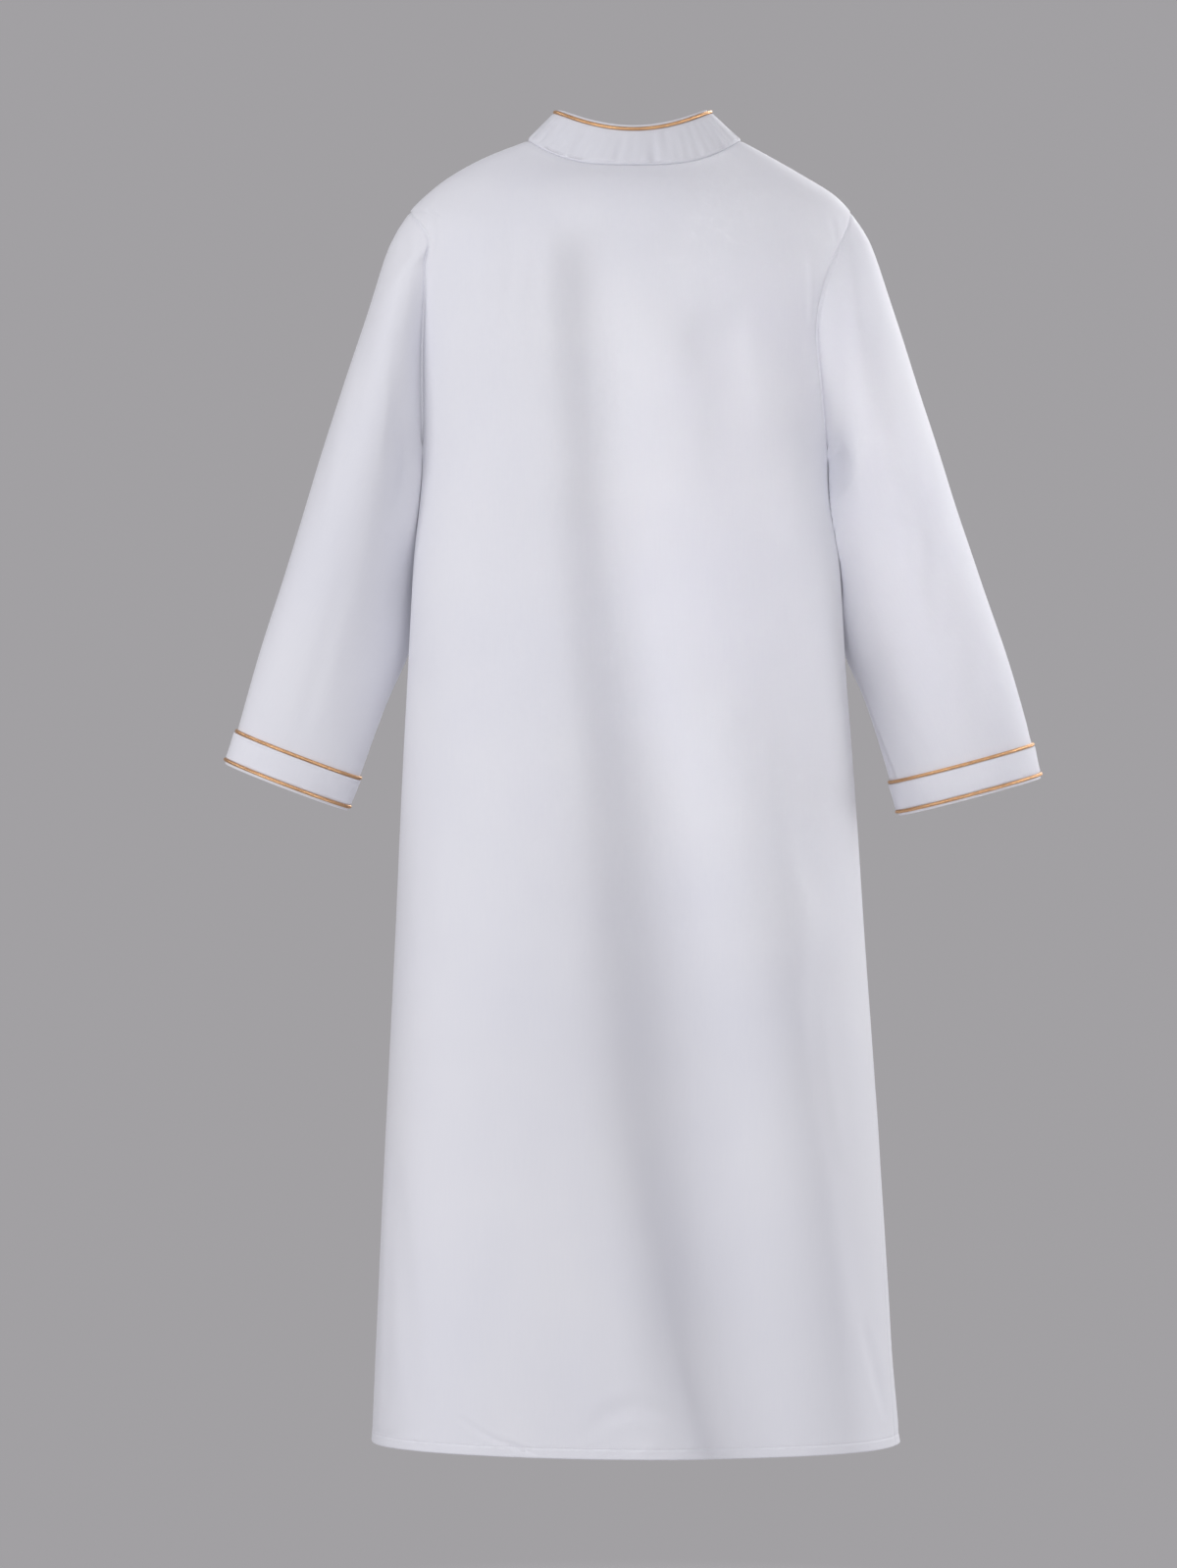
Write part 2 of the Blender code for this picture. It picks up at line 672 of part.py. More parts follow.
def collar_frame():
    """Foot, foot normal, top and wall normal at each of the collar's turns, the over lap lifted."""
    turns = collar_turns()
    foot = body_surface(turns, 0.0)
    foot_normals = body_normals(turns, 0.0)
    top = collar_top(turns)
    round_neck = np.gradient(top, turns, axis=0)
    wall = unit(np.cross(round_neck, top - foot))
    if np.sum(wall * top) < 0:
        wall = -wall
    lap = 1 - ease(LAP_STARTS, LAP_ENDS, turns)
    lift = lap[:, None] * 2 * (LAYER + SEAM_GAP)
    shift = set_in(foot, foot_normals, top - foot, closed=False)
    return shift + foot_normals * lift, foot_normals, top + wall * lift, wall


def add_collar():
    foot, foot_normals, top, wall = collar_frame()
    height = np.linalg.norm(top - foot, axis=-1, keepdims=True)
    up = (top - foot) / height
    notch = height - 2 * CORD_RADIUS - SEAM_GAP
    between = PROUD - LAYER
    inside = between - LAYER
    outline = (
        foot + foot_normals * inside,
        foot + foot_normals * PROUD,
        foot + up * notch + wall * PROUD,
        foot + up * notch + wall * between,
        foot + up * (height + CORD_LIP) + wall * between,
        foot + up * (height + CORD_LIP) + wall * inside,
    )
    add_band("collar", np.stack(outline, axis=1), False, cloth)
    lift = between + SEAM_GAP + CORD_RADIUS
    path = foot + up * (notch + SEAM_GAP + CORD_RADIUS) + wall * lift
    add_cord("piping_collar", path[:-CORD_SHORT_BY], False, cord)
    seat = (foot[1] + top[1]) / 2 + wall[1] * PROUD
    return seat, wall[1]


def build():
    add_panel("back", back_turns)
    add_panel("front", front_turns)
    line, line_normals = add_placket()
    for side in SLEEVES:
        add_sleeve(side)
        add_cuff(side)
    seat, direction = add_collar()
    add_button("button_1", seat, direction)
    for number, row in enumerate(BUTTON_ROWS, start=2):
        add_button(f"button_{number}", line[row], line_normals[row])


for old in list(bpy.data.objects):
    bpy.data.objects.remove(old, do_unlink=True)
robe = bpy.data.collections.new("robe")
bpy.context.scene.collection.children.link(robe)
cloth = add_material("white satin cloth", WHITE_CLOTH, 0.45, 0.0)
cord = add_material("gold cord", GOLD_CORD, 0.35, 0.3)
button_finish = add_material("white button", WHITE_BUTTON, 0.3, 0.0)
build()
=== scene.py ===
# White robe with a standing collar and gold corded edges, dressed over its CAD frame.
import math

import bmesh
import bpy
import numpy as np
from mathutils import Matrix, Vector


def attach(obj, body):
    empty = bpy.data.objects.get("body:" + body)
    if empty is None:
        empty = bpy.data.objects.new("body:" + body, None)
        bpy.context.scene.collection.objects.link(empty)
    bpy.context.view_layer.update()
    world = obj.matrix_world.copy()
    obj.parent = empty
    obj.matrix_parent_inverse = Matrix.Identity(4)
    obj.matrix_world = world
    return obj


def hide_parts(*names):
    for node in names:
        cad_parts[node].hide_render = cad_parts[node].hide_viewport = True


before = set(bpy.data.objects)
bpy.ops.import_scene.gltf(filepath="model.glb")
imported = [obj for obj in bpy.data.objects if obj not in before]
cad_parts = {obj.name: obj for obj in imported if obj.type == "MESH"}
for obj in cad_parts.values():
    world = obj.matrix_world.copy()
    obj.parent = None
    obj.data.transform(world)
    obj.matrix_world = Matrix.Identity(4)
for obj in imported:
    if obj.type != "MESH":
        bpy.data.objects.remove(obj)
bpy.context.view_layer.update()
bpy.ops.object.select_all(action="DESELECT")

# Cut of the body, in metres; a point is found by its turn round the body and its drop below the neck
bodyCut = {
    "cloth": 0.0012,
    "length": 1.378,
    "hemTilt": 0.002,
    "hemLevel": 0.12,  # a fold that lies in hangs a little lower, so that the hem looks level
    "hemTurn": 0.011,
    "hemFold": 0.0013,
    "shoulderDrop": 0.076,
    "underarmDrop": 0.335,
    "backNeckDrop": 0.031,
    "frontNeckDrop": 0.078,
    "neckFade": 0.25,
    "sideSeamTurn": math.radians(11),
    "seamGap": 0.0003,
    "seamDip": 0.0011,  # how far the cloth rolls in along a seam
    "seamDipWidth": 0.0024,
    "flattening": 0.006,  # how much the back hangs in at its middle and out beside it
    "flatSpan": 0.36,
    "flatStarts": (0.05, 0.16),
    "stand": 0.014,  # how far out the folds stand low down
    "standStarts": (0.55, 1.15),
    "flankStarts": (0.06, 0.01),  # above and below a flank's first row
    "foldFade": 0.05,
    # drop, half breadth left and right, depth behind and before
    "rings": (
        (0.0, 0.112, 0.1134, 0.052, 0.082), (0.016, 0.153, 0.1425, 0.069, 0.093),
        (0.037, 0.1925, 0.179, 0.085, 0.104), (0.058, 0.22, 0.2125, 0.096, 0.112),
        (0.076, 0.2375, 0.23, 0.103, 0.117), (0.11, 0.2455, 0.24, 0.111, 0.124),
        (0.15, 0.244, 0.24, 0.116, 0.13), (0.19, 0.24, 0.235, 0.119, 0.134),
        (0.25, 0.234, 0.223, 0.121, 0.137), (0.335, 0.2246, 0.2065, 0.122, 0.136),
        (0.45, 0.2335, 0.2185, 0.12, 0.132), (0.56, 0.2392, 0.225, 0.122, 0.132),
        (0.68, 0.2454, 0.234, 0.13, 0.138), (0.87, 0.2538, 0.2465, 0.14, 0.148),
        (1.06, 0.2631, 0.26, 0.149, 0.156), (1.25, 0.2715, 0.272, 0.158, 0.163),
        (1.378, 0.277, 0.2815, 0.164, 0.168),
    ),
    # drop, then how far the armhole lies in: back left, back right, front left, front right
    "armholes": (
        (0.076, 0.0, 0.0, 0.0, 0.0), (0.09, 0.019, 0.01, 0.012, 0.012), (0.105, 0.031, 0.019, 0.021, 0.02),
        (0.131, 0.0295, 0.033, 0.034, 0.033), (0.162, 0.0265, 0.042, 0.043, 0.042),
        (0.191, 0.022, 0.0436, 0.045, 0.043), (0.25, 0.0135, 0.0296, 0.035, 0.03),
        (0.3, 0.006, 0.0125, 0.016, 0.014), (0.335, 0.0, 0.0, 0.0, 0.0),
    ),
}

# Folds of the back, each a flank: drop, place across, height of the step, half width of the step
backFlanks = {
    "middle dark": (
        (0.124, 0.066, 0.012, 0.016), (0.225, 0.063, 0.017, 0.02), (0.327, 0.057, 0.022, 0.023),
        (0.479, 0.047, 0.029, 0.025), (0.581, 0.035, 0.035, 0.028), (0.682, 0.02, 0.042, 0.032),
        (0.784, 0.011, 0.048, 0.035), (0.885, 0.003, 0.052, 0.036), (0.987, -0.005, 0.054, 0.036),
        (1.088, -0.018, 0.056, 0.035), (1.19, -0.037, 0.061, 0.032), (1.291, -0.053, 0.066, 0.031),
        (1.38, -0.076, 0.066, 0.031),
    ),
    "middle bright": (
        (0.124, 0.024, -0.004, 0.02), (0.225, 0.002, -0.014, 0.028), (0.327, -0.012, -0.022, 0.034),
        (0.479, -0.026, -0.028, 0.042), (0.581, -0.045, -0.033, 0.036), (0.682, -0.07, -0.038, 0.034),
        (0.784, -0.084, -0.043, 0.04), (0.885, -0.1, -0.046, 0.048), (0.987, -0.118, -0.048, 0.05),
        (1.088, -0.126, -0.048, 0.05), (1.19, -0.134, -0.048, 0.05), (1.291, -0.146, -0.049, 0.05),
        (1.38, -0.16, -0.05, 0.05),
    ),
    "right upper dark": (
        (0.225, -0.061, 0.0075, 0.016), (0.276, -0.077, 0.007, 0.016), (0.327, -0.077, 0.0055, 0.016),
        (0.378, -0.077, 0.003, 0.016),
    ),
    "right upper bright": (
        (0.225, -0.112, -0.0045, 0.012), (0.276, -0.122, -0.0045, 0.012), (0.327, -0.124, -0.002, 0.012),
    ),
    "right dark": (
        (0.225, -0.145, 0.001, 0.014), (0.276, -0.15, 0.001, 0.014), (0.53, -0.15, 0.003, 0.014),
        (0.631, -0.153, 0.0045, 0.014), (0.733, -0.164, 0.007, 0.014), (0.834, -0.186, 0.008, 0.014),
        (0.885, -0.179, 0.0075, 0.014), (0.987, -0.187, 0.0055, 0.014), (1.088, -0.203, 0.0045, 0.013),
        (1.19, -0.222, 0.006, 0.012), (1.291, -0.244, 0.0065, 0.012), (1.38, -0.261, 0.0065, 0.012),
    ),
    "right edge bright": (
        (0.124, -0.181, -0.003, 0.007), (0.276, -0.181, -0.003, 0.007), (0.378, -0.196, -0.003, 0.007),
        (0.479, -0.206, -0.003, 0.007), (0.53, -0.208, 0.0, 0.007),
    ),
    "left crescent": (
        (0.571, 0.21, -0.003, 0.014), (0.642, 0.195, -0.003, 0.014), (0.682, 0.185, -0.003, 0.014),
        (0.733, 0.17, -0.003, 0.014), (0.784, 0.154, -0.002, 0.014), (0.834, 0.134, 0.0, 0.014),
    ),
    "left dark": (
        (0.581, 0.225, 0.003, 0.018), (0.733, 0.22, 0.003, 0.018), (0.784, 0.205, 0.003, 0.018),
        (0.834, 0.21, 0.003, 0.018), (0.885, 0.22, 0.003, 0.018), (0.946, 0.231, 0.0, 0.018),
    ),
    "lower left dark": (
        (0.86, 0.18, 0.0, 0.05), (0.98, 0.178, 0.01, 0.055), (1.12, 0.172, 0.017, 0.055),
        (1.25, 0.168, 0.02, 0.055), (1.38, 0.164, 0.021, 0.055),
    ),
    "lower right bright": (
        (0.9, -0.168, 0.0, 0.03), (1.0, -0.17, -0.006, 0.03), (1.19, -0.186, -0.014, 0.028),
        (1.38, -0.218, -0.015, 0.028),
    ),
}

# Folds of the front: drop, place across, width, depth; a negative depth is a ridge
frontFolds = {
    "left trough": (
        (0.2, 0.12, 0.03, 0.0), (0.5, 0.11, 0.036, 0.006), (0.9, 0.118, 0.042, 0.011),
        (1.38, 0.145, 0.048, 0.016),
    ),
    "middle ridge": (
        (0.45, 0.02, 0.04, 0.0), (0.8, 0.03, 0.045, -0.005), (1.38, 0.045, 0.055, -0.009),
    ),
    "right trough": (
        (0.25, -0.105, 0.03, 0.0), (0.6, -0.095, 0.036, 0.006), (1.0, -0.07, 0.04, 0.01),
        (1.38, -0.055, 0.045, 0.015),
    ),
    "right ridge": (
        (0.5, -0.16, 0.035, 0.0), (0.95, -0.165, 0.042, -0.006), (1.38, -0.175, 0.048, -0.008),
    ),
}


def smoothRead(knots, values, at):
    slopes = np.gradient(values, knots)
    at = np.clip(at, knots[0], knots[-1])
    low = np.clip(np.searchsorted(knots, at, side="right") - 1, 0, len(knots) - 2)
    span = knots[low + 1] - knots[low]
    t = (at - knots[low]) / span
    rise = 3 * t ** 2 - 2 * t ** 3
    return (
        values[low] * (1 - rise)
        + values[low + 1] * rise
        + span * slopes[low] * (t ** 3 - 2 * t ** 2 + t)
        + span * slopes[low + 1] * (t ** 3 - t ** 2)
    )


def readColumn(rows, column, at):
    table = np.array(rows, float)
    return smoothRead(table[:, 0], table[:, column], at)


def readTable(rows, at):
    # every column but the first, which holds the drops
    return [readColumn(rows, column, at) for column in range(1, len(rows[0]))]


def readRings(drop, column):
    return readColumn(bodyCut["rings"], column, drop)


def easeBetween(low, high, at):
    t = np.clip((np.asarray(at, float) - low) / (high - low), 0, 1)
    return t * t * (3 - 2 * t)


def bell(at, width):
    return np.exp(-((at / width) ** 2))


def unitVectors(vectors):
    return vectors / np.maximum(np.linalg.norm(vectors, axis=-1, keepdims=True), 1e-12)


def squareTo(vectors, along):
    # the part of each vector that is square to a direction
    return unitVectors(vectors - along * np.sum(vectors * along, axis=1, keepdims=True))


def runningLength(points, axis=0):
    # how far each point lies from the first, measured along the cloth
    steps = np.linalg.norm(np.diff(points, axis=axis), axis=-1)
    return np.concatenate((np.zeros_like(np.take(steps, [0], axis)), np.cumsum(steps, axis)), axis)


def runningMean(points):
    # the same for whole rows
    steps = np.linalg.norm(np.diff(points, axis=0), axis=-1).mean(axis=1)
    return np.concatenate(([0], np.cumsum(steps)))


def flankHeight(x, drop):
    height = np.zeros_like(x)
    above, below = bodyCut["flankStarts"]
    for rows in backFlanks.values():
        first, last = rows[0][0], rows[-1][0]
        middle, step, width = readTable(rows, drop)
        step = step * easeBetween(first - above, first + below, drop)
        if last < bodyCut["length"]:
            step = step * (1 - easeBetween(last, last + bodyCut["foldFade"], drop))
        height += step / 2 * np.tanh((x - middle) / width)
    flat = bodyCut["flattening"] * easeBetween(*bodyCut["flatStarts"], drop)
    stand = bodyCut["stand"] * easeBetween(*bodyCut["standStarts"], drop)
    return height + stand - flat * np.cos(2 * math.pi * x / bodyCut["flatSpan"])


def frontFoldDepth(x, drop):
    depth = np.zeros_like(x)
    for rows in frontFolds.values():
        first = rows[0][0]
        middle, width, size = readTable(rows, drop)
        size = size * easeBetween(first - bodyCut["foldFade"], first, drop)
        depth += size * bell(x - middle, width)
    return depth


def bodySurface(turn, drop):
    turn, drop = np.broadcast_arrays(np.asarray(turn, float), np.asarray(drop, float))
    cosine, sine = np.cos(turn), np.sin(turn)
    breadth = np.where(cosine > 0, readRings(drop, 1), readRings(drop, 2))
    depth = np.where(sine > 0, readRings(drop, 3), readRings(drop, 4))
    x = breadth * cosine
    y = depth * sine
    neck = np.where(sine > 0, bodyCut["backNeckDrop"], bodyCut["frontNeckDrop"])
    neck = neck * (1 - np.abs(cosine) ** 3) * np.clip(1 - drop / bodyCut["neckFade"], 0, None) ** 2
    z = -drop - neck + bodyCut["hemTilt"] * cosine * (drop / bodyCut["length"]) ** 2
    outward = np.where(sine > 0, flankHeight(x, drop), -frontFoldDepth(x, drop))
    outward = outward * (1 - cosine ** 8)
    z = z + bodyCut["hemLevel"] * outward * (drop / bodyCut["length"]) ** 7 * (sine > 0)
    away = unitVectors(np.stack((cosine / breadth, sine / depth, np.zeros_like(turn)), axis=-1))
    return np.stack((x, y, z), axis=-1) + outward[..., None] * away


def bodyNormals(turn, drop):
    step = 1e-4
    across = bodySurface(turn + step, drop) - bodySurface(turn - step, drop)
    down = bodySurface(turn, drop + step) - bodySurface(turn, drop - step)
    return unitVectors(np.cross(down, across))


def armholeTurn(column, drop):
    inset = readColumn(bodyCut["armholes"], column, drop)
    breadth = readRings(drop, 1 if column in (1, 3) else 2)
    return np.arccos(np.clip(1 - inset / breadth, -1, 1))


def wander(x, y, scale, seed, waves=9, slow=0.45):
    # random swell of worn cloth, about -1 to 1; it changes fastest along x
    draw = np.random.RandomState(seed)
    total = np.zeros_like(x)
    for _ in range(waves):
        along, across = draw.normal(0, 1, 2) / scale
        total += np.sin(x * across + y * along * slow + draw.uniform(0, 2 * math.pi))
    return total / math.sqrt(waves / 2) / 2


def gridNormals(points, closed=False):
    down = np.gradient(points, axis=0)
    if closed:
        across = np.roll(points, -1, axis=1) - np.roll(points, 1, axis=1)
    else:
        across = np.gradient(points, axis=1)
    return unitVectors(np.cross(down, across))


creaseForm = {
    "blunt": 0.7,  # lower keeps a crease's depth nearer to its ends
    "rim": 0.3,  # the cloth rises beside a crease: how much, where, how wide
    "rimPlace": 1.9,
    "rimWidth": 0.9,
    "facing": 0.35,
}


def creaseHeight(points, normals, creases, way):
    # creases: corner points across and down in millimetres, half width, depth; a negative depth is a ridge
    x = points[..., 0] * 1000
    drop = -points[..., 2] * 1000
    total = np.zeros_like(x)
    for path, width, depth in creases:
        path = np.array(path, float)
        starts = runningLength(path)
        nearest = np.full(x.shape, 1e9)
        along = np.zeros_like(x)
        for i, length in enumerate(np.linalg.norm(np.diff(path, axis=0), axis=1)):
            step = (path[i + 1] - path[i]) / length
            dx, dy = x - path[i, 0], drop - path[i, 1]
            t = np.clip(dx * step[0] + dy * step[1], 0, length)
            gap = np.hypot(dx - step[0] * t, dy - step[1] * t)
            closer = gap < nearest
            nearest = np.where(closer, gap, nearest)
            along = np.where(closer, starts[i] + t, along)
        share = along / starts[-1]
        size = np.sin(math.pi * np.clip(share * 0.9 + 0.05, 0, 1)) ** creaseForm["blunt"]
        near = nearest / (width * (0.6 + 0.4 * size))
        rim = creaseForm["rim"] * bell(near - creaseForm["rimPlace"], creaseForm["rimWidth"])
        total -= depth / 1000 * size * (bell(near, 1) - rim)
    return total * easeBetween(0.0, creaseForm["facing"], way * normals[..., 1])


def seamRoll(points, normals, edges):
    # the cloth dips in beside each seam
    roll = np.zeros(points.shape[:2])
    for edge in edges:
        axis = 0 if edge == "top" else 1
        if edge == "right":
            far = np.flip(runningLength(np.flip(points, axis), axis), axis)
        else:
            far = runningLength(points, axis)
        roll = np.maximum(roll, bodyCut["seamDip"] * bell(far, bodyCut["seamDipWidth"]))
    return points - normals * roll[..., None]


def makeMesh(name, points, faces, cornerUv):
    mesh = bpy.data.meshes.new(name)
    mesh.from_pydata(points.reshape(-1, 3).tolist(), [], faces)
    flat = np.zeros((len(mesh.loops), 2), np.float32)
    flat[: len(cornerUv)] = cornerUv
    mesh.uv_layers.new(name="clothUv").data.foreach_set("uv", flat.ravel())
    mesh.validate()
    piece = bpy.data.objects.new(name, mesh)
    bpy.context.scene.collection.objects.link(piece)
    return piece


def gridFaces(points, u, v):
    # corners of every face and their places on the map; a map one wider or longer than the grid closes it
    rows, columns = points.shape[:2]
    uv = np.stack((u, v), axis=-1)
    r, c = np.meshgrid(np.arange(uv.shape[0] - 1), np.arange(uv.shape[1] - 1), indexing="ij")
    r, c = r.ravel(), c.ravel()
    below, beside = (r + 1) % rows, (c + 1) % columns
    corners = (r * columns + c, below * columns + c, below * columns + beside, r * columns + beside)
    return np.stack(corners, 1), np.stack((uv[r, c], uv[r + 1, c], uv[r + 1, c + 1], uv[r, c + 1]), 1)


def makeGrid(name, points, closed=False, flip=False):
    # rows run down, columns across; a closed grid joins its last column to its first
    u = runningLength(np.concatenate((points, points[:, :1]), axis=1) if closed else points, 1)
    u = u - u[:, u.shape[1] // 2][:, None]
    faces, uv = gridFaces(points, u, -runningMean(points)[:, None] + np.zeros_like(u))
    if flip:
        faces, uv = faces[:, ::-1], uv[:, ::-1]
    return makeMesh(name, points, faces.tolist(), uv.reshape(-1, 2))


def makeBand(name, sections, closedAlong):
    # sections are closed outlines, one after another along the band
    count, size = sections.shape[:2]
    line, v = sections, runningLength(np.concatenate((sections, sections[:, :1]), axis=1), 1)
    caps = [list(range(size)), list(range((count - 1) * size, count * size))]
    if closedAlong:
        line, v, caps = np.concatenate((sections, sections[:1])), np.concatenate((v, v[:1])), []
    faces, uv = gridFaces(sections, runningMean(line)[:, None] + np.zeros((1, size + 1)), v)
    piece = makeMesh(name, sections, faces.tolist() + caps, uv.reshape(-1, 2))
    turnOutward(piece)
    smoothShade(piece)
    return piece


def turnOutward(piece):
    solid = bmesh.new()
    solid.from_mesh(piece.data)
    bmesh.ops.recalc_face_normals(solid, faces=solid.faces)
    solid.to_mesh(piece.data)
    solid.free()


def pickOnly(piece):
    bpy.ops.object.select_all(action="DESELECT")
    piece.select_set(True)
    bpy.context.view_layer.objects.active = piece


def smoothShade(piece, degrees=42):
    pickOnly(piece)
    bpy.ops.object.shade_smooth_by_angle(angle=math.radians(degrees))
    bpy.ops.object.select_all(action="DESELECT")


def modify(piece, name, kind, **settings):
    modifier = piece.modifiers.new(name, kind)
    for label, value in settings.items():
        setattr(modifier, label, value)
    pickOnly(piece)
    bpy.ops.object.modifier_apply(modifier=modifier.name)


def thicken(piece):
    modify(piece, "cloth wall", "SOLIDIFY", thickness=bodyCut["cloth"], offset=-1)
    smoothShade(piece)


def finishPiece(piece, material, nodes=()):
    piece.data.materials.clear()
    piece.data.materials.append(material)
    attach(piece, "root")
    if nodes:
        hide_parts(*nodes)
    return piece


def evenPath(path, guides, spacing, closed):
    # the same path with evenly spaced points; guides are directions that ride along
    if closed:
        path, guides = np.concatenate((path, path[:1])), np.concatenate((guides, guides[:1]))
    far = runningLength(path)
    count = max(4, int(round(far[-1] / spacing)))
    at = np.linspace(0, far[-1], count, endpoint=not closed)
    path, guides = [
        np.stack([np.interp(at, far, part[:, k]) for k in range(3)], 1) for part in (path, guides)
    ]
    return path, unitVectors(guides)


def pathTangents(path, closed):
    if closed:
        return unitVectors(np.roll(path, -1, axis=0) - np.roll(path, 1, axis=0))
    return unitVectors(np.gradient(path, axis=0))


cordTrim = {
    "radius": 0.00185,
    "sunk": 0.0011,  # the cord is caught in its seam
    "sides": 14,
    "spacing": 0.0012,
    "ends": (0.55, 0.85, 0.97),  # an open cord closes over its last three rings
}


def makeCord(node, path, guides, closed, material):
    path, guides = evenPath(path, guides, cordTrim["spacing"], closed)
    tangents = pathTangents(path, closed)
    out = squareTo(guides, tangents)
    size = np.full(len(path), cordTrim["radius"])
    if not closed:
        size[:3] *= cordTrim["ends"]
        size[-3:] *= cordTrim["ends"][::-1]
    angle = np.linspace(0, 2 * math.pi, cordTrim["sides"], endpoint=False)[None, :, None]
    rings = np.cos(angle) * out[:, None] + np.sin(angle) * np.cross(tangents, out)[:, None]
    piece = makeBand(node + "_wound", path[:, None] + rings * size[:, None, None], closed)
    return finishPiece(piece, material, (node,))


# Sewn stitches, each a short fat grain, joined into one piece a seam
stitchForm = {
    "length": 0.0021,
    "pitch": 0.0030,
    "radius": 0.00024,
    "sides": 5,
    "lift": 0.00006,
    # place along the stitch, size, how far out of the cloth
    "rings": ((-0.5, 0.35, -0.9), (-0.3, 1.0, 0.0), (0.3, 1.0, 0.0), (0.5, 0.35, -0.9)),
    "mapStep": (0.0007, 0.0003),
}


def stitchRun(path, normals, closed=False):
    middle, up = evenPath(path, normals, stitchForm["pitch"], closed)
    return middle, pathTangents(middle, closed), up, np.full(len(middle), stitchForm["length"])


def makeStitches(name, runs, material, radius=stitchForm["radius"]):
    middle, tangents, up, long = [np.concatenate([run[k] for run in runs]) for k in range(4)]
    up = squareTo(up, tangents)
    side = np.cross(tangents, up)
    sides = stitchForm["sides"]
    angle = np.linspace(0, 2 * math.pi, sides, endpoint=False)[None, :, None]
    ring = np.cos(angle) * up[:, None] + np.sin(angle) * side[:, None]
    sections = []
    for reach, size, sink in stitchForm["rings"]:
        centre = middle + tangents * (long * reach)[:, None] + up * (stitchForm["lift"] + sink * radius)
        sections.append(centre[:, None] + ring * radius * size)
    ends, each = [list(range(sides))[::-1], list(range(3 * sides, 4 * sides))], 4 * sides
    grain = [
        [r * sides + k, r * sides + (k + 1) % sides, (r + 1) * sides + (k + 1) % sides, (r + 1) * sides + k]
        for r in range(3) for k in range(sides)
    ] + ends
    faces = [[start + k for k in face] for start in range(0, len(middle) * each, each) for face in grain]
    corner = np.array([k for face in faces for k in face]) % each
    along, around = stitchForm["mapStep"]
    uv = np.stack((corner // sides * along, corner % sides * around), 1)
    piece = makeMesh(name, np.stack(sections, axis=1), faces, uv)
    turnOutward(piece)
    piece.data.shade_smooth()
    return finishPiece(piece, material)


# Back and front panels; an edge is its column of the armholes and how it follows the side seam
hemForm = {
    "proud": 0.0006,
    "draw": 0.0005,
    "drawWidth": 0.0008,
    "pucker": 0.0005,
    "puckerScale": 0.0048,
    "puckerReach": 0.008,
}
backPanel = {
    "start": 0,
    "edges": ((1, 0), (2, 1)),
    "facing": 1,
    "seed": 5,
    "columnsPerSide": 77,
    "rows": (
        (0.0, 0.006, 5), (0.006, 0.03, 7), (0.03, 0.42, 95), (0.42, 1.27, 140), (1.27, 1.36, 30),
        (1.36, 1.3767, 24),
    ),
    "swell": 0.00035,
    "cutWidth": 0.63,
    "cutLength": 1.45,
    "cutArea": 0.80,
}
frontPanel = {
    "start": math.pi,
    "edges": ((4, -1), (3, 0)),
    "facing": -1,
    "seed": 17,
    "columnsPerSide": 66,
    "rows": (
        (0.0, 0.006, 5), (0.006, 0.03, 7), (0.03, 0.42, 84), (0.42, 1.33, 140), (1.33, 1.36, 10),
        (1.36, 1.3767, 24),
    ),
    "swell": 0.0007,
    "cutWidth": 0.65,
    "cutLength": 1.45,
    "cutArea": 0.80,
}
# Creases laid in: corner points in millimetres across and down, half width, depth
backCreases = (
    (((248.8, 1078), (239.6, 1179.5), (226.4, 1331.8)), 9, 0.8),
    (((257.9, 1073), (262, 1189.7), (266, 1354.1)), 4.5, -0.8),
    (((179.8, 1335.9), (149.3, 1355.1), (107.7, 1371.4)), 2.8, 1.3),
    (((134.1, 1356.2), (103.6, 1372.4)), 2.3, 1), (((228.5, 1361.2), (220.3, 1371.4)), 1.8, 0.6),
    (((49.8, 1354.1), (27.5, 1331.8), (-2.9, 1322.7), (-33.4, 1331.8), (-49.6, 1352.1)), 9, 1.1),
    (((27.5, 1377.5), (19.4, 1366.3)), 2.2, 0.3), (((6.2, 1377.5), (-2.9, 1365.3)), 2, 0.35),
    (((-15.1, 1377.5), (-22.2, 1367.3)), 2.1, 0.3), (((-36.4, 1376.5), (-45.6, 1366.3)), 2.3, 0.35),
    (((-58.8, 1376.5), (-65.9, 1367.3)), 2, 0.3), (((-240, 1245), (-252, 1295), (-264, 1345)), 5, 1.2),
    (((195, 555.3), (88.4, 563.4), (7.2, 560.4), (-74, 556.3), (-155.2, 548.2)), 1.6, 0.1),
    (((213.2, 71.2), (211.2, 95.5), (209.2, 119.9)), 3.4, 1.2),
    (((-205.9, 85.4), (-210, 97.6), (-214.1, 113.8)), 3.2, 1), (((-218.1, 87.4), (-222.2, 97.6)), 1.6, 0.3),
    (((181.8, 76.2), (182.8, 134.1), (184.8, 207.2)), 6, 0.5),
    (((156.4, 81.3), (157.4, 139.2), (160.5, 210.2)), 7, -0.45),
    (((128, 77.3), (128, 139.2), (131, 209.2)), 8, 0.5),
    (((-183.6, 132.1), (-185.6, 164.6), (-184.6, 199.1)), 2.8, -0.5),
    (((-87.2, 590.9), (-99.4, 601), (-113.6, 612.2)), 9, -0.9),
    (((88.4, 103.7), (90.4, 174.7), (86.4, 255.9)), 9, -0.5),
    (((-143, 296.5), (-136.9, 398), (-141, 519.8)), 11, 0.7),
    (((195, 702.5), (203.1, 783.7), (198, 870)), 10, -0.7),
    (((-195.8, 895.4), (-203.9, 986.7), (-218.1, 1078)), 8, -0.7),
)
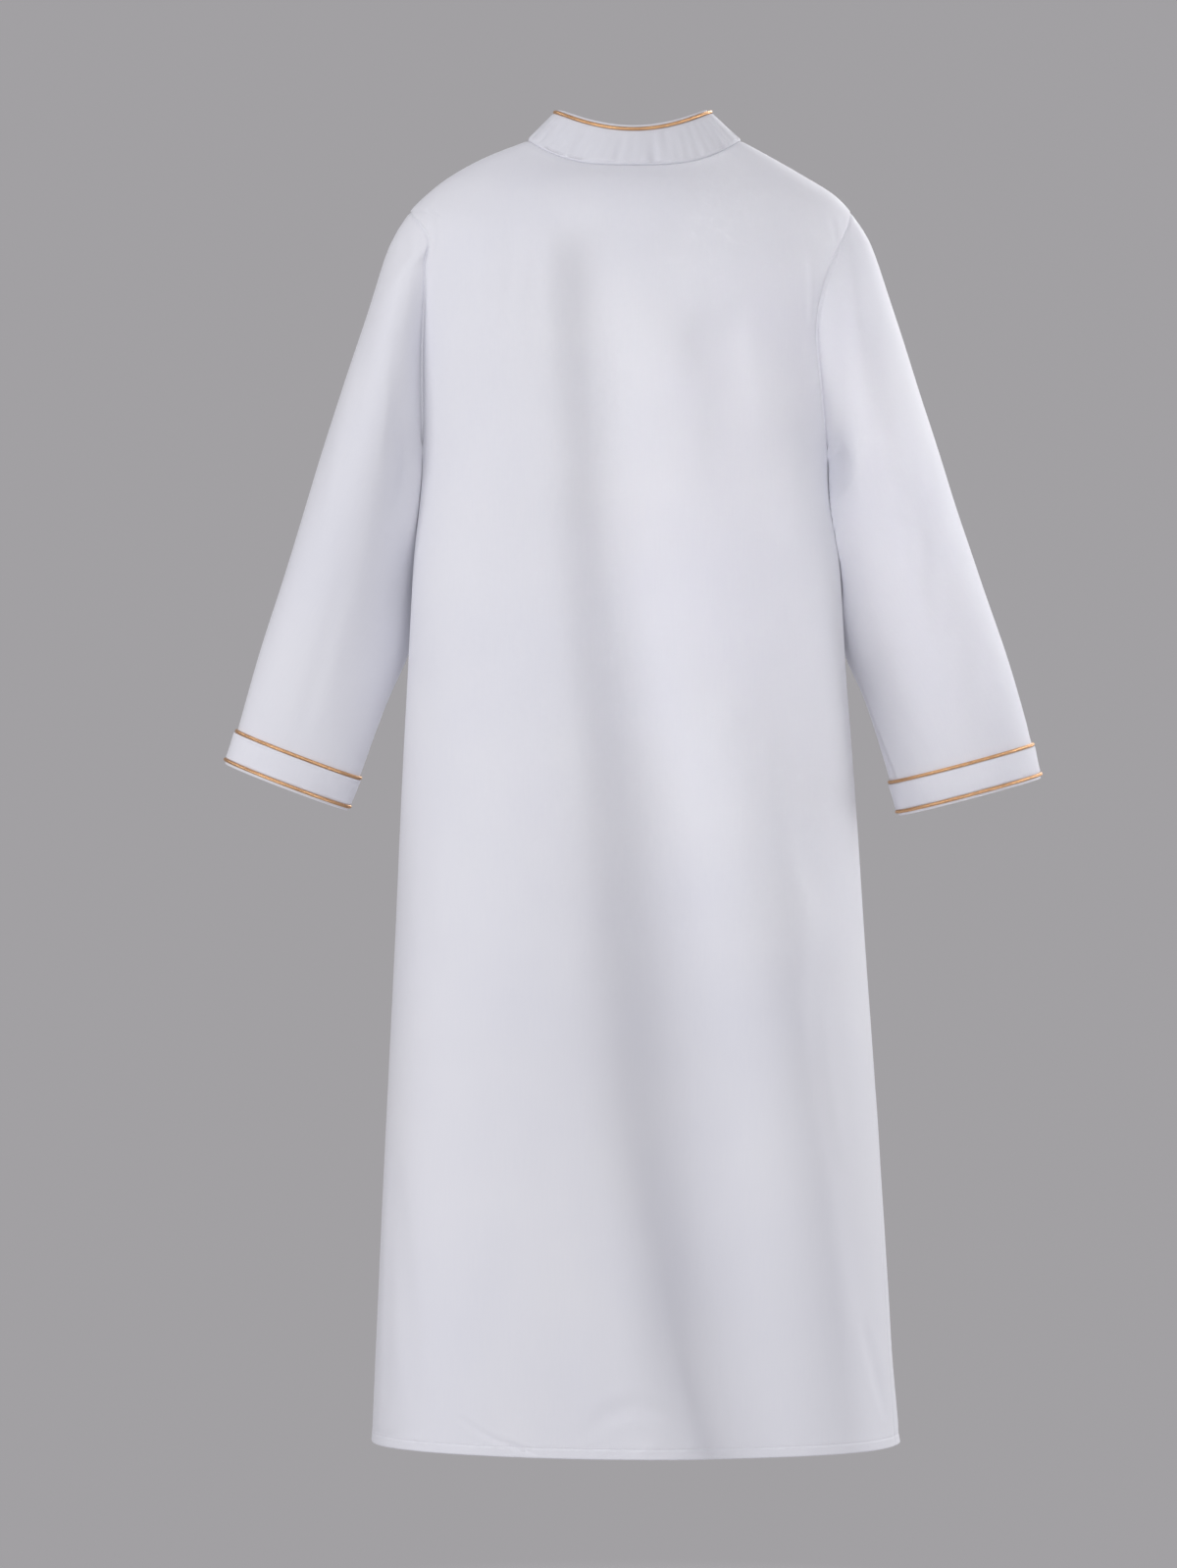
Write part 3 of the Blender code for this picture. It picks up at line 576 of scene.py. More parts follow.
frontCreases = (
    (((-62, 148), (-70, 260), (-66, 360)), 9, 0.8), (((-118, 170), (-112, 300), (-124, 430)), 10, -0.8),
    (((72, 150), (84, 240), (80, 350)), 8, 0.7), (((128, 180), (120, 320), (131, 455)), 11, -0.9),
    (((30, 520), (42, 620), (38, 760)), 12, 0.9), (((-45, 560), (-58, 700), (-60, 850)), 13, -1),
    (((-150, 700), (-142, 850), (-156, 1010)), 12, 0.9), (((150, 640), (163, 800), (160, 930)), 11, -0.8),
    (((60, 960), (72, 1110), (66, 1290)), 13, 1), (((-96, 1010), (-105, 1180), (-98, 1350)), 12, -0.9),
    (((205, 1290), (190, 1330), (168, 1362)), 2.6, 0.6),
    (((-230, 1296), (-214, 1338), (-196, 1364)), 2.4, 0.55), (((20, 1364), (28, 1352)), 2.2, 0.35),
    (((-12, 1364), (-20, 1351)), 2.2, 0.35), (((46, 1363), (54, 1353)), 2, 0.3),
)


def panelTurns(panel, drop):
    # turns of one row, from side seam to side seam, closest together beside the seams
    even = np.linspace(0, 1, panel["columnsPerSide"])
    quarter = math.pi / 2 * even * (1 - 0.5 * (1 - even) ** 6)
    sideSeam = bodyCut["sideSeamTurn"] * easeBetween(bodyCut["underarmDrop"], bodyCut["length"], drop)
    first, last = [
        quarter + (armholeTurn(column, drop) + follows * sideSeam) * (1 - 2 * quarter / math.pi) ** 2
        for column, follows in panel["edges"]
    ]
    return np.concatenate((panel["start"] + first, panel["start"] + math.pi - last[-2::-1]))


def hemBand(up, x):
    # the turned hem stands a little proud of the cloth, drawn in along its stitching and puckered
    turn, width = bodyCut["hemTurn"], hemForm["drawWidth"]
    inside = 1 - easeBetween(turn - 0.0012, turn + 0.0004, up)
    band = hemForm["proud"] * inside * (1.25 - 0.6 * np.clip(up / turn, 0, 1))
    groove = hemForm["draw"] * bell(up - turn + width, width)
    near = bell(up - turn, hemForm["puckerReach"])
    pucker = wander(x + 0.5 * up, up * 0.6, hemForm["puckerScale"], 97) * near
    return band - groove + hemForm["pucker"] * pucker


def panelPoints(panel, creases):
    steps = [np.linspace(*row, endpoint=False) for row in panel["rows"]]
    drops = np.concatenate(steps + [[panel["rows"][-1][1]]])
    turns = np.array([panelTurns(panel, drop) for drop in drops])
    level = np.repeat(drops[:, None], turns.shape[1], axis=1)
    points, normals = bodySurface(turns, level), bodyNormals(turns, level)
    x, edge, seed = points[..., 0], 0.03, panel["seed"]
    fromLeft = runningLength(points, 1)
    fromSeam = np.minimum(fromLeft, fromLeft[:, -1:] - fromLeft)
    inner = easeBetween(0, edge, fromSeam) * easeBetween(0, edge, level)
    swell = wander(x, level, 0.034, seed) + 0.6 * wander(x, level, 0.015, seed + 1)
    lift = panel["swell"] * swell * inner
    lift = lift + creaseHeight(points, normals, creases, panel["facing"])
    lift = lift + hemBand(bodyCut["length"] - level, x)
    points = points + normals * lift[..., None]
    points = seamRoll(points, gridNormals(points), ("left", "right", "top"))
    return points, gridNormals(points)


def makePanel(name, panel, creases, finishes):
    points, normals = panelPoints(panel, creases)
    up = np.linalg.norm(points - points[-1], axis=-1).mean(axis=1)
    row = int(np.argmin(np.abs(up - (bodyCut["hemTurn"] - 0.0005))))
    run = stitchRun(points[row, 1:-1], normals[row, 1:-1])
    sewing = makeStitches(name + "_hem_stitches", [run], finishes["thread"])
    # the cloth turns round the hem's fold and comes up inside it
    radius, foot, out = bodyCut["hemFold"], points[-1], normals[-1]
    down = unitVectors(points[-1] - points[-2])
    rows = []
    for step in range(1, 7):
        angle = math.pi * step / 6
        rows.append(foot + down * radius * math.sin(angle) - out * radius * (1 - math.cos(angle)))
    for rise in np.linspace(0.0015, bodyCut["hemTurn"] - radius, 6):
        rows.append(foot - down * rise - out * 2 * radius)
    piece = makeGrid(name + "_cloth", np.concatenate((points, np.array(rows))))
    thicken(piece)
    return finishPiece(piece, finishes["cloth"], (name,)), sewing


# Sleeves: outer and inner edge of each ring, how far forward it hangs, half depth, inner edge's reach
sleeveForm = {
    "lean": math.radians(2),
    "armholeFade": 3.0,
    "columns": 180,
    "rows": 165,
    "swell": 0.0006,
    "seeds": {"left": 31, "right": 47},
    # under the arm, the cloth hangs against the body: how far, at what drop, over what
    "fullness": (0.0240, 0.385, 0.062),
    "hollow": {"left": 0.12, "right": -0.14},  # how far the side next to the body falls in
    "hug": 0.0007,
    # seam allowance: how deep and how far under the body's edge
    "allowance": ((0.0010, 0.0002), (0.0024, 0.0016), (0.0029, 0.0070)),
    "rings": {
        "left": (
            (0.2375, 0.076, 0.2246, 0.335, 0.0, 0.057, 0.0),
            (0.252, 0.0985, 0.2285, 0.341, 0.002, 0.068, 0.006),
            (0.264, 0.125, 0.232, 0.35, 0.004, 0.076, 0.014),
            (0.284, 0.187, 0.232, 0.372, 0.008, 0.083, 0.026),
            (0.305, 0.248, 0.229, 0.405, 0.012, 0.084, 0.036),
            (0.3285, 0.319, 0.2275, 0.448, 0.017, 0.08, 0.04),
            (0.352, 0.396, 0.2295, 0.492, 0.022, 0.073, 0.04),
            (0.374, 0.466, 0.239, 0.538, 0.027, 0.065, 0.032),
            (0.4, 0.545, 0.264, 0.597, 0.033, 0.055, 0.014),
            (0.4231, 0.6257, 0.2929, 0.6755, 0.04, 0.045, 0.0),
        ),
        "right": (
            (0.23, 0.076, 0.2065, 0.335, 0.0, 0.062, 0.0),
            (0.2455, 0.0985, 0.211, 0.342, 0.002, 0.071, 0.006),
            (0.2575, 0.125, 0.215, 0.352, 0.004, 0.078, 0.014),
            (0.278, 0.187, 0.2165, 0.376, 0.008, 0.084, 0.026),
            (0.298, 0.248, 0.215, 0.411, 0.012, 0.084, 0.036),
            (0.321, 0.319, 0.214, 0.455, 0.017, 0.08, 0.04),
            (0.346, 0.396, 0.2165, 0.5, 0.022, 0.074, 0.04),
            (0.369, 0.464, 0.227, 0.546, 0.027, 0.067, 0.032),
            (0.3965, 0.543, 0.25, 0.602, 0.033, 0.057, 0.014),
            (0.4252, 0.64, 0.2741, 0.68, 0.04, 0.047, 0.0),
        ),
    },
    "cutWidth": 0.42,
    "cutLength": 0.60,
    "cutArea": 0.205,
}
# behind, then before
sleeveCreases = {
    "left": (
        (
            (((257.9, 586.6), (271.2, 630.7), (285.6, 674.9)), 2.6, 2),
            (((243.5, 98.2), (238.4, 128.1)), 6, 0.8),
            (((225, 140), (220, 220), (217, 300), (214, 352)), 10, 2.4),
            (((303.2, 645.1), (292.9, 655.4), (283.7, 662.6)), 3, 1),
            (((282.6, 167.2), (305.3, 290.8), (325.9, 414.4)), 8, -0.6),
            (((310.5, 476.2), (334.1, 568.9), (356.8, 641)), 9, 0.7),
        ),
        (
            (((262, 170), (300, 300), (345, 430)), 8, 0.7), (((285, 330), (330, 460), (372, 560)), 9, -0.7),
            (((300, 560), (325, 610)), 5, 0.5),
        ),
    ),
    "right": (
        (
            (((-236.4, 568.9), (-248.8, 608), (-265.3, 647.2), (-279.6, 682.1)), 2.6, 2.2),
            (((-228.2, 113.6), (-237.5, 208.4), (-246.8, 323.8)), 9, -1.3),
            (((-266.4, 198.1), (-286.9, 311.4), (-310.6, 414.4)), 9, 0.6),
            (((-286.9, 419.6), (-303.4, 476.2), (-318.9, 546.2)), 10, -0.8),
            (((-266.4, 579.2), (-292.1, 625.6), (-314.8, 656.5)), 6, 0.5),
            (((-226.2, 249.6), (-224.1, 321.7), (-228.2, 393.8)), 6, 0.6),
        ),
        (
            (((-255, 180), (-290, 310), (-335, 440)), 9, -0.7),
            (((-280, 350), (-322, 470), (-365, 575)), 8, 0.7), (((-310, 570), (-330, 620)), 5, 0.5),
        ),
    ),
}
sideSign = {"left": 1, "right": -1}
# columns of the body's tables: half breadth, then armhole behind and before
sideRing = {"left": 1, "right": 2}
sideArmholes = {"left": (1, 3), "right": (2, 4)}

# Cuffs: two layers, a cord along the top and one in a notch at the foot
cuffForm = {
    "height": 0.0345,
    "taper": 0.985,
    "tuck": 0.007,
    "layer": 0.0012,
    "lip": 0.0026,
    "around": 300,
    "pucker": 0.0005,
    "puckerReach": 0.006,
    "seeds": {"left": 61, "right": 67},
    "cutWidth": 0.368,
    "cutLength": 0.036,
}


def sleeveFrame(side, along):
    rows = np.array(sleeveForm["rings"][side])
    along = np.atleast_1d(np.asarray(along, float))
    places = np.arange(len(rows), dtype=float)
    outerX, outerDrop, innerX, innerDrop, forward, deep, nose = [
        smoothRead(places, rows[:, k], along) for k in range(7)
    ]
    sign = sideSign[side]
    outer = np.stack((sign * outerX, -forward, -outerDrop), 1)
    inner = np.stack((sign * innerX, -forward, -innerDrop), 1)
    lean = sleeveForm["lean"] * along / places[-1]
    zero = np.zeros_like(along)
    depth = deep[:, None] * np.stack((zero, np.cos(lean), -np.sin(lean)), 1)
    return (outer + inner) / 2, (outer - inner) / 2, depth, np.stack((zero, -nose, zero), 1)


def ringPoints(ringFrame, turns):
    middle, breadth, depth, nose = [part[:, None] for part in ringFrame]
    turns = turns[..., None]
    inward = ((1 - np.cos(turns)) / 2) ** 1.5
    return middle + np.cos(turns) * breadth + np.sin(turns) * depth + inward * nose


def cuffFrame(side, along):
    along = np.atleast_1d(np.asarray(along, float))
    middle, breadth, depth, nose = sleeveFrame(side, len(sleeveForm["rings"][side]) - 1)
    axis = unitVectors(np.cross(breadth, depth))
    axis = np.where(axis[:, 2:] > 0, -axis, axis)
    scale = (1 - (1 - cuffForm["taper"]) * along / cuffForm["height"])[:, None]
    return middle + axis * along[:, None], breadth * scale, depth * scale, nose + 0 * scale


def sleeveGrid(side):
    way = np.linspace(0, 2, sleeveForm["columns"], endpoint=False)
    half = np.where(way <= 1, way, 2 - way)
    # drops of the armhole's points, from the shoulder to the underarm and back
    shoulder = bodyCut["shoulderDrop"]
    reach = bodyCut["underarmDrop"] - shoulder
    drops = shoulder + reach * (half + (1 - np.cos(math.pi * half)) / 2) / 2
    angle = np.arccos(np.clip(1 - 2 * (drops - shoulder) / reach, -1, 1))
    armhole = np.where(way <= 1, angle, 2 * math.pi - angle)
    back, front = [armholeTurn(column, drops) for column in sideArmholes[side]]
    inset = np.where(way <= 1, back, -front)
    seam = bodySurface(inset if side == "left" else math.pi - inset, drops)
    even = np.linspace(0, 1, sleeveForm["rows"])
    last = len(sleeveForm["rings"][side]) - 1
    places = last * (even * (1 - 0.55 * (1 - even) ** 12)) ** 1.1
    blend = easeBetween(0, sleeveForm["armholeFade"], places)[:, None]
    turns = armhole + (math.pi * way - armhole) * blend
    start = ringPoints(sleeveFrame(side, 0.0), armhole[None])
    points = ringPoints(sleeveFrame(side, places), turns) + (seam - start) * (1 - blend)[..., None]
    points = hangBeside(side, points, turns)
    tuck = np.linspace(0.0015, cuffForm["tuck"], 4)
    ends = ringPoints(cuffFrame(side, tuck), np.repeat((math.pi * way)[None], len(tuck), axis=0))
    return np.concatenate((turnUnder(side, seam, inset, drops), points, ends))


def hangBeside(side, points, turns):
    # the sleeve goes in behind the body's edge and stops just clear of it
    size, level, spread = sleeveForm["fullness"]
    drop = -points[..., 2]
    inward = np.clip(-np.cos(turns), 0, 1) * (1 - easeBetween(0.003, 0.038, points[..., 1]))
    away = np.linalg.norm(points - points[:1], axis=-1)
    full = size * bell(drop - level, spread) * inward * easeBetween(0.0, 0.012, away)
    points = points - np.stack((full * sideSign[side], 0 * full, 0 * full), axis=-1)
    middle = points.mean(axis=1, keepdims=True)
    quarter = np.where(np.cos(turns) < 0, np.sin(2 * turns) ** 2, 0) * np.where(np.sin(turns) > 0, 1, 0.4)
    fade = easeBetween(0.02, 0.10, away) * (1 - easeBetween(0.48, 0.60, drop))
    points = points - (points - middle) * (sleeveForm["hollow"][side] * quarter * fade)[..., None]
    drop = -points[..., 2]
    breadth = readRings(drop, sideRing[side])
    depth = np.where(points[..., 1] > 0, readRings(drop, 3), readRings(drop, 4))
    far = np.hypot(points[..., 0] / breadth, points[..., 1] / depth)
    clear = 1 + sleeveForm["hug"] / breadth
    below = easeBetween(bodyCut["underarmDrop"] - 0.004, bodyCut["underarmDrop"] + 0.012, drop)
    push = 1 + (np.maximum(clear / far, 1) - 1) * below
    return points * np.stack((push, push, np.ones_like(push)), axis=-1)


def turnUnder(side, seam, inset, drops):
    # the seam allowance, which lies under the body's edge all round the armhole
    turn = inset if side == "left" else math.pi - inset
    aside = 0.004 * np.sign(inset) * sideSign[side]
    under = unitVectors(bodySurface(turn + aside, drops) - seam)
    out = bodyNormals(turn, drops)
    rows = [seam - out * deep + under * reach for deep, reach in sleeveForm["allowance"]]
    return np.array(rows[::-1])


def makeSleeve(side, finishes):
    points = sleeveGrid(side)
    normals = gridNormals(points, closed=True) * sideSign[side]
    down = runningMean(points)
    inner = easeBetween(0, 0.03, down) * (1 - easeBetween(down[-1] - 0.03, down[-1] - 0.012, down))
    seed, drop = sleeveForm["seeds"][side], -points[..., 2]
    around = np.arctan2(normals[..., 1], normals[..., 0] * sideSign[side]) * 0.08
    swell = wander(around, drop, 0.045, seed) + 0.5 * wander(around, drop, 0.018, seed + 1)
    lift = sleeveForm["swell"] * swell * inner[:, None]
    for way, creases in zip((1, -1), sleeveCreases[side]):
        lift = lift + creaseHeight(points, normals, creases, way)
    points = points + normals * lift[..., None]
    normals = gridNormals(points, closed=True) * sideSign[side]
    under = len(sleeveForm["allowance"])
    points[under:] = seamRoll(points[under:], normals[under:], ("top",))
    piece = makeGrid(f"sleeve_{side}_cloth", points, closed=True, flip=side == "right")
    thicken(piece)
    return finishPiece(piece, finishes["cloth"], ("sleeve_" + side,))


def cuffPoints(side, turns, along, lift):
    # points of the cuff at heights down it and lifts off the sleeve's end, for every turn
    ringFrame = cuffFrame(side, along)
    breadth, depth = ringFrame[1:3]
    points = ringPoints(ringFrame, np.repeat(turns[None], len(breadth), axis=0))
    wide = np.sum(breadth ** 2, axis=1)[:, None, None]
    deep = np.sum(depth ** 2, axis=1)[:, None, None]
    angle = turns[None, :, None]
    normals = unitVectors(np.cos(angle) * breadth[:, None] / wide + np.sin(angle) * depth[:, None] / deep)
    return points + normals * np.reshape(lift, (len(points), -1, 1)), normals


def roundedOutline(top, foot, notch, between, outside, inside):
    # the band's outline: outer face, notch for the cord, lip and inner face, with soft corners
    outline = [(top, inside + 0.0003), (top - 0.0002, (inside + outside) / 2), (top, outside - 0.0005)]
    outline += [(top + 0.0005, outside - 0.0001)]
    outline += [(a, outside) for a in np.linspace(top + 0.0016, notch - 0.0014, 14)]
    outline += [(notch - 0.0005, outside - 0.0001), (notch - 0.0001, outside - 0.0005)]
    outline += [(notch, between + 0.0001)]
    outline += [(a, between) for a in np.linspace(notch + 0.0006, foot - 0.0004, 4)]
    outline += [(foot, between - 0.0004), (foot, inside + 0.0004), (foot - 0.0004, inside)]
    outline += [(a, inside) for a in np.linspace(foot - 0.003, top + 0.0006, 9)]
    return np.array(outline).T


def makeCuff(side, finishes):
    inside, layer, radius = bodyCut["seamGap"], cuffForm["layer"], cordTrim["radius"]
    between = inside + layer
    outside = between + layer
    top = inside + radius
    notch = cuffForm["height"] - 2 * radius - inside
    along, lift = roundedOutline(top, cuffForm["height"] + cuffForm["lip"], notch, between, outside, inside)
    turns = np.linspace(0, 2 * math.pi, cuffForm["around"], endpoint=False)
    around = turns[None] * 0.05 + 0 * along[:, None]
    level = along[:, None] + 0 * turns[None]
    seam = np.maximum(*[bell(level - place, cuffForm["puckerReach"]) for place in (0.003, notch)])
    seed = cuffForm["seeds"][side]
    pucker = wander(level * 0.4, around, 0.0022, seed) * seam + 0.8 * wander(level, around, 0.009, seed + 1)
    outer = (lift > between + 0.0002)[:, None]
    points, _ = cuffPoints(side, turns, along, lift[:, None] + cuffForm["pucker"] * pucker * outer)
    piece = makeBand(f"cuff_{side}_cloth", points.transpose(1, 0, 2), True)
    finishPiece(piece, finishes["cloth"], ("cuff_" + side,))
    cords = (("upper", 0.0, top), ("lower", notch + inside + radius, between + inside + radius))
    for name, height, off in cords:
        path, guides = cuffPoints(side, turns, [height], [off - cordTrim["sunk"]])
        makeCord(f"piping_cuff_{side}_{name}", path[0], guides[0], True, finishes["cord"])
    runs = []
    for height in (top + 0.0026, notch - 0.0022):
        path, guides = cuffPoints(side, turns, [height], [outside])
        runs.append(stitchRun(path[0], guides[0], closed=True))
    return piece, makeStitches(f"cuff_{side}_stitches", runs, finishes["thread"])


# Standing collar: the ring of its top edge, and its lap at the front
collarForm = {
    "topLeft": 0.082,
    "topRight": 0.080,
    "topBack": 0.044,
    "topFront": 0.072,
    "topRise": 0.031,
    "topBackDip": 0.0222,
    "topFrontDip": 0.072,
    "proud": 0.0006,
    "lapStarts": math.radians(-78),
    "lapEnds": math.radians(-45),
    "cordEnds": math.radians(255.5),
    "around": 430,
    "pucker": 0.0010,
    "cutWidth": 0.56,
    "cutLength": 0.045,
}
# Front opening: strip over the middle of the front, its buttons and buttonholes
placketForm = {
    "halfWidth": 0.015,
    "foot": 0.3805,
    "columns": 17,
    "rows": 150,
    "swell": 0.00025,
    "edgeRoll": (0.00045, 0.0009),  # how deep and how wide
    "stitchRoll": (0.0002, 0.0011),
    "edgeStitch": 0.0022,
    "crossStitch": 0.030,
    "buttonholeLength": 0.0135,
    "buttonholeHalf": 0.0013,
    "buttonholeThread": 0.0019,
    "cutWidth": 0.031,
    "cutLength": 0.315,
}


def placketTurn(drop):
    return np.arcsin(placketForm["halfWidth"] / readRings(drop, 1))


def collarFrame(turns):
    foot = bodySurface(turns, 0.0)
    footNormals = bodyNormals(turns, 0.0)
    cosine, sine = np.cos(turns), np.sin(turns)
    x = np.where(cosine > 0, collarForm["topLeft"], collarForm["topRight"]) * cosine
    y = np.where(sine > 0, collarForm["topBack"], collarForm["topFront"]) * sine
    dip = np.where(sine > 0, collarForm["topBackDip"], collarForm["topFrontDip"])
    top = np.stack((x, y, collarForm["topRise"] - dip * sine ** 2), axis=-1)
    wall = unitVectors(np.cross(np.gradient(top, turns, axis=0), top - foot))
    wall = -wall if np.sum(wall * top) < 0 else wall
    lap = 1 - easeBetween(collarForm["lapStarts"], collarForm["lapEnds"], turns)
    lift = lap[:, None] * 2 * (cuffForm["layer"] + bodyCut["seamGap"])
    return foot + footNormals * lift, footNormals, top + wall * lift, wall


def collarPoint(parts, along, lift):
    # along runs up from the seam; lift is off the wall
    foot, footNormals, top, wall = parts
    height = np.linalg.norm(top - foot, axis=-1, keepdims=True)
    up = (top - foot) / height
    share = np.clip(along / height, 0, 1)
    off = unitVectors(footNormals * (1 - share) + wall * share)
    return foot + up * along + off * lift


def makeCollar(finishes):
    half = float(placketTurn(0.0))
    turns = np.linspace(-math.pi / 2 - half, 1.5 * math.pi + half, collarForm["around"])
    parts = collarFrame(turns)
    foot, _, top, wall = parts
    height = np.linalg.norm(top - foot, axis=-1, keepdims=True)
    gap, layer, radius = bodyCut["seamGap"], cuffForm["layer"], cordTrim["radius"]
    proud = collarForm["proud"]
    notch = height - 2 * radius - gap
    between = proud - layer
    inside = between - layer
    lip, zero = height + cuffForm["lip"], 0 * height
    around = turns[:, None] * 0.085
    outline = [(zero, inside), (zero - 0.0001, inside + 0.0008), (zero, proud - 0.0008)]
    outline += [(zero + 0.0005, proud - 0.0003), (zero + 0.0012, proud)]
    for share in np.linspace(0.06, 0.95, 15):
        level = notch * share
        pucker = wander(around, level * 0.6, 0.0032, 71) + 0.7 * wander(around, level * 0.8, 0.009, 72)
        fade = 0.35 + 0.65 * math.exp(-((share / 0.45) ** 2))
        outline.append((level, proud + collarForm["pucker"] * pucker * fade))
    outline += [(notch - 0.0003, proud - 0.0002), (notch, between)]
    outline += [(notch + (lip - notch) * share, between) for share in (0.15, 0.5, 0.85)]
    outline += [(lip, between - 0.0003), (lip, inside + 0.0004), (lip - 0.0005, inside)]
    outline += [(lip * share, inside) for share in (0.9, 0.75, 0.6, 0.45, 0.3, 0.15)]
    sections = np.stack([collarPoint(parts, along, lift) for along, lift in outline], axis=1)
    piece = makeBand("collar_cloth", sections, False)
    # the collar wears the darker copy of the cloth, painted shade
    finishPiece(piece, finishes["paintedCollarShade"], ("collar",))
    up = (top - foot) / height
    path = foot + up * (notch + gap + radius) + wall * (between + gap + radius - cordTrim["sunk"])
    keep = turns <= collarForm["cordEnds"]
    makeCord("piping_collar", path[keep], wall[keep], False, finishes["cord"])
    lines = [collarPoint(parts, level, proud + 0.0001) for level in (0.0024 + zero, notch - 0.0022)]
    runs = [stitchRun(line[4:-4], wall[4:-4]) for line in lines]
    return piece, makeStitches("collar_stitches", runs, finishes["thread"])


def makePlacket(finishes):
    form, seat = placketForm, bodyCut["seamGap"] + bodyCut["cloth"]
    drops = np.linspace(0.0, form["foot"], form["rows"])
    level = np.repeat(drops[:, None], form["columns"], axis=1)
    share = np.linspace(-1, 1, form["columns"])
    share = np.sign(share) * np.abs(share) ** 0.75
    turns = 1.5 * math.pi + placketTurn(drops)[:, None] * share[None]
    points, normals = bodySurface(turns, level), bodyNormals(turns, level)
    lift = seat + form["swell"] * wander(points[..., 0] * 2, level, 0.012, 83)
    edge = np.minimum((1 - np.abs(share))[None] * form["halfWidth"], (drops[-1] - drops)[:, None])
    for place, (deep, wide) in ((0.0, form["edgeRoll"]), (form["edgeStitch"], form["stitchRoll"])):
        lift = lift - deep * bell(edge - place, wide)
    points[0] = points[0] + (points[1] - points[0]) * 0.9
    piece = makeGrid("placket_cloth", points + normals * lift[..., None])
    thicken(piece)
    finishPiece(piece, finishes["cloth"], ("placket",))
    inward = 1 - form["edgeStitch"] / form["halfWidth"]
    spread = np.linspace(-1, 1, 12) * inward
    lines = [(way * inward, drops[3:-3]) for way in (-1, 1)]
    lines += [(spread, form["foot"] - up + 0 * spread) for up in (form["edgeStitch"], form["crossStitch"])]
    runs = []
    for across, drop in lines:
        turn = 1.5 * math.pi + placketTurn(drop) * across
        normals = bodyNormals(turn, drop)
        runs.append(stitchRun(bodySurface(turn, drop) + normals * (seat + 0.00005), normals))
    return piece, makeStitches("placket_stitches", runs, finishes["thread"])


buttonForm = {
    "radius": 0.0058,
    "thickness": 0.0026,
    "rim": 0.0013,
    "dish": 0.00055,
    "softRim": 0.00035,
    "holeRadius": 0.00062,
    "holeOffset": 0.00125,
    "threadRadius": 0.00032,
    "sides": 48,
}


def buttonSeat(node):
    places = np.array([v.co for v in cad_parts[node].data.vertices])
    normal = np.linalg.svd(places - places.mean(0), full_matrices=False)[2][2]
    return (places.min(0) + places.max(0)) / 2, normal if normal[1] < 0 else -normal


def makeButton(node, finishes):
    middle, normal = buttonSeat(node)
    form, off = buttonForm, buttonForm["holeOffset"]
    radius, depth, hole = form["radius"], form["thickness"], form["holeRadius"]
    bpy.ops.mesh.primitive_cylinder_add(vertices=form["sides"], radius=radius, depth=depth)
    piece = bpy.context.object
    piece.name = node + "_turned"
    bpy.ops.object.mode_set(mode="EDIT")
    solid = bmesh.from_edit_mesh(piece.data)
    for face in solid.faces:
        face.select = face.normal.z > 0.9
    bmesh.update_edit_mesh(piece.data)
    for inset, rise in ((form["rim"], 0.00015), (0.0007, -form["dish"]), (0.0014, -0.0001)):
        bpy.ops.mesh.inset(thickness=inset)
        bpy.ops.transform.translate(value=(0, 0, rise))
    bpy.ops.object.mode_set(mode="OBJECT")
    soft = {"width": form["softRim"], "segments": 3, "angle_limit": math.radians(30)}
    modify(piece, "soft rim", "BEVEL", limit_method="ANGLE", **soft)
    for place in ((off, off, 0), (-off, off, 0), (-off, -off, 0), (off, -off, 0)):
        bpy.ops.mesh.primitive_cylinder_add(vertices=16, radius=hole, depth=0.01, location=place)
        drill = bpy.context.object
        modify(piece, "hole", "BOOLEAN", operation="DIFFERENCE", solver="EXACT", object=drill)
        bpy.data.objects.remove(drill, do_unlink=True)
    pickOnly(piece)
    turn = Vector(normal).to_track_quat("Z", "Y")
    piece.rotation_mode = "QUATERNION"
    piece.rotation_quaternion = turn
    piece.location = Vector(middle)
    bpy.ops.object.transform_apply(location=True, rotation=True, scale=True)
    piece.rotation_mode = "XYZ"
    smoothShade(piece, 35)
    finishPiece(piece, finishes["button"], (node,))
    across, up = [np.array(turn @ Vector(axis)) for axis in ((1, 0, 0), (0, 1, 0))]
    top = middle + normal * (depth / 2 - form["dish"] + 0.0002)
    pairs = []
    for way in (-1, 1):
        centre = top + up * off * way
        for rise, spare in ((0, 0.0006), (0.00012, 0.0003)):
            place = centre[None] + normal * rise
            pairs.append((place, across[None], normal[None], np.array([2 * off + spare])))
    return makeStitches(node + "_thread", pairs, finishes["thread"], radius=form["threadRadius"])


def makeButtonholes(finishes):
    # overcast slits under the buttons, upright on the strip
    runs, half = [], placketForm["buttonholeLength"] / 2
    seat = bodyCut["seamGap"] + bodyCut["cloth"] + 0.0001
    for node in ("button_2", "button_3", "button_4"):
        middle, _ = buttonSeat(node)
        drops = np.linspace(-middle[2] - half, -middle[2] + half, 34)
        for way in (-1, 1):
            turn = 1.5 * math.pi + way * placketForm["buttonholeHalf"] / readRings(drops, 1)
            line, out = bodySurface(turn, drops), bodyNormals(turn, drops)
            line[:, 2] -= line[17, 2] - middle[2]
            side = unitVectors(np.cross(out, pathTangents(line, False)))
            runs.append((line + out * seat, side, out, np.full(len(line), placketForm["buttonholeThread"])))
    return makeStitches("buttonhole_stitches", runs, finishes["thread"], radius=0.00021)


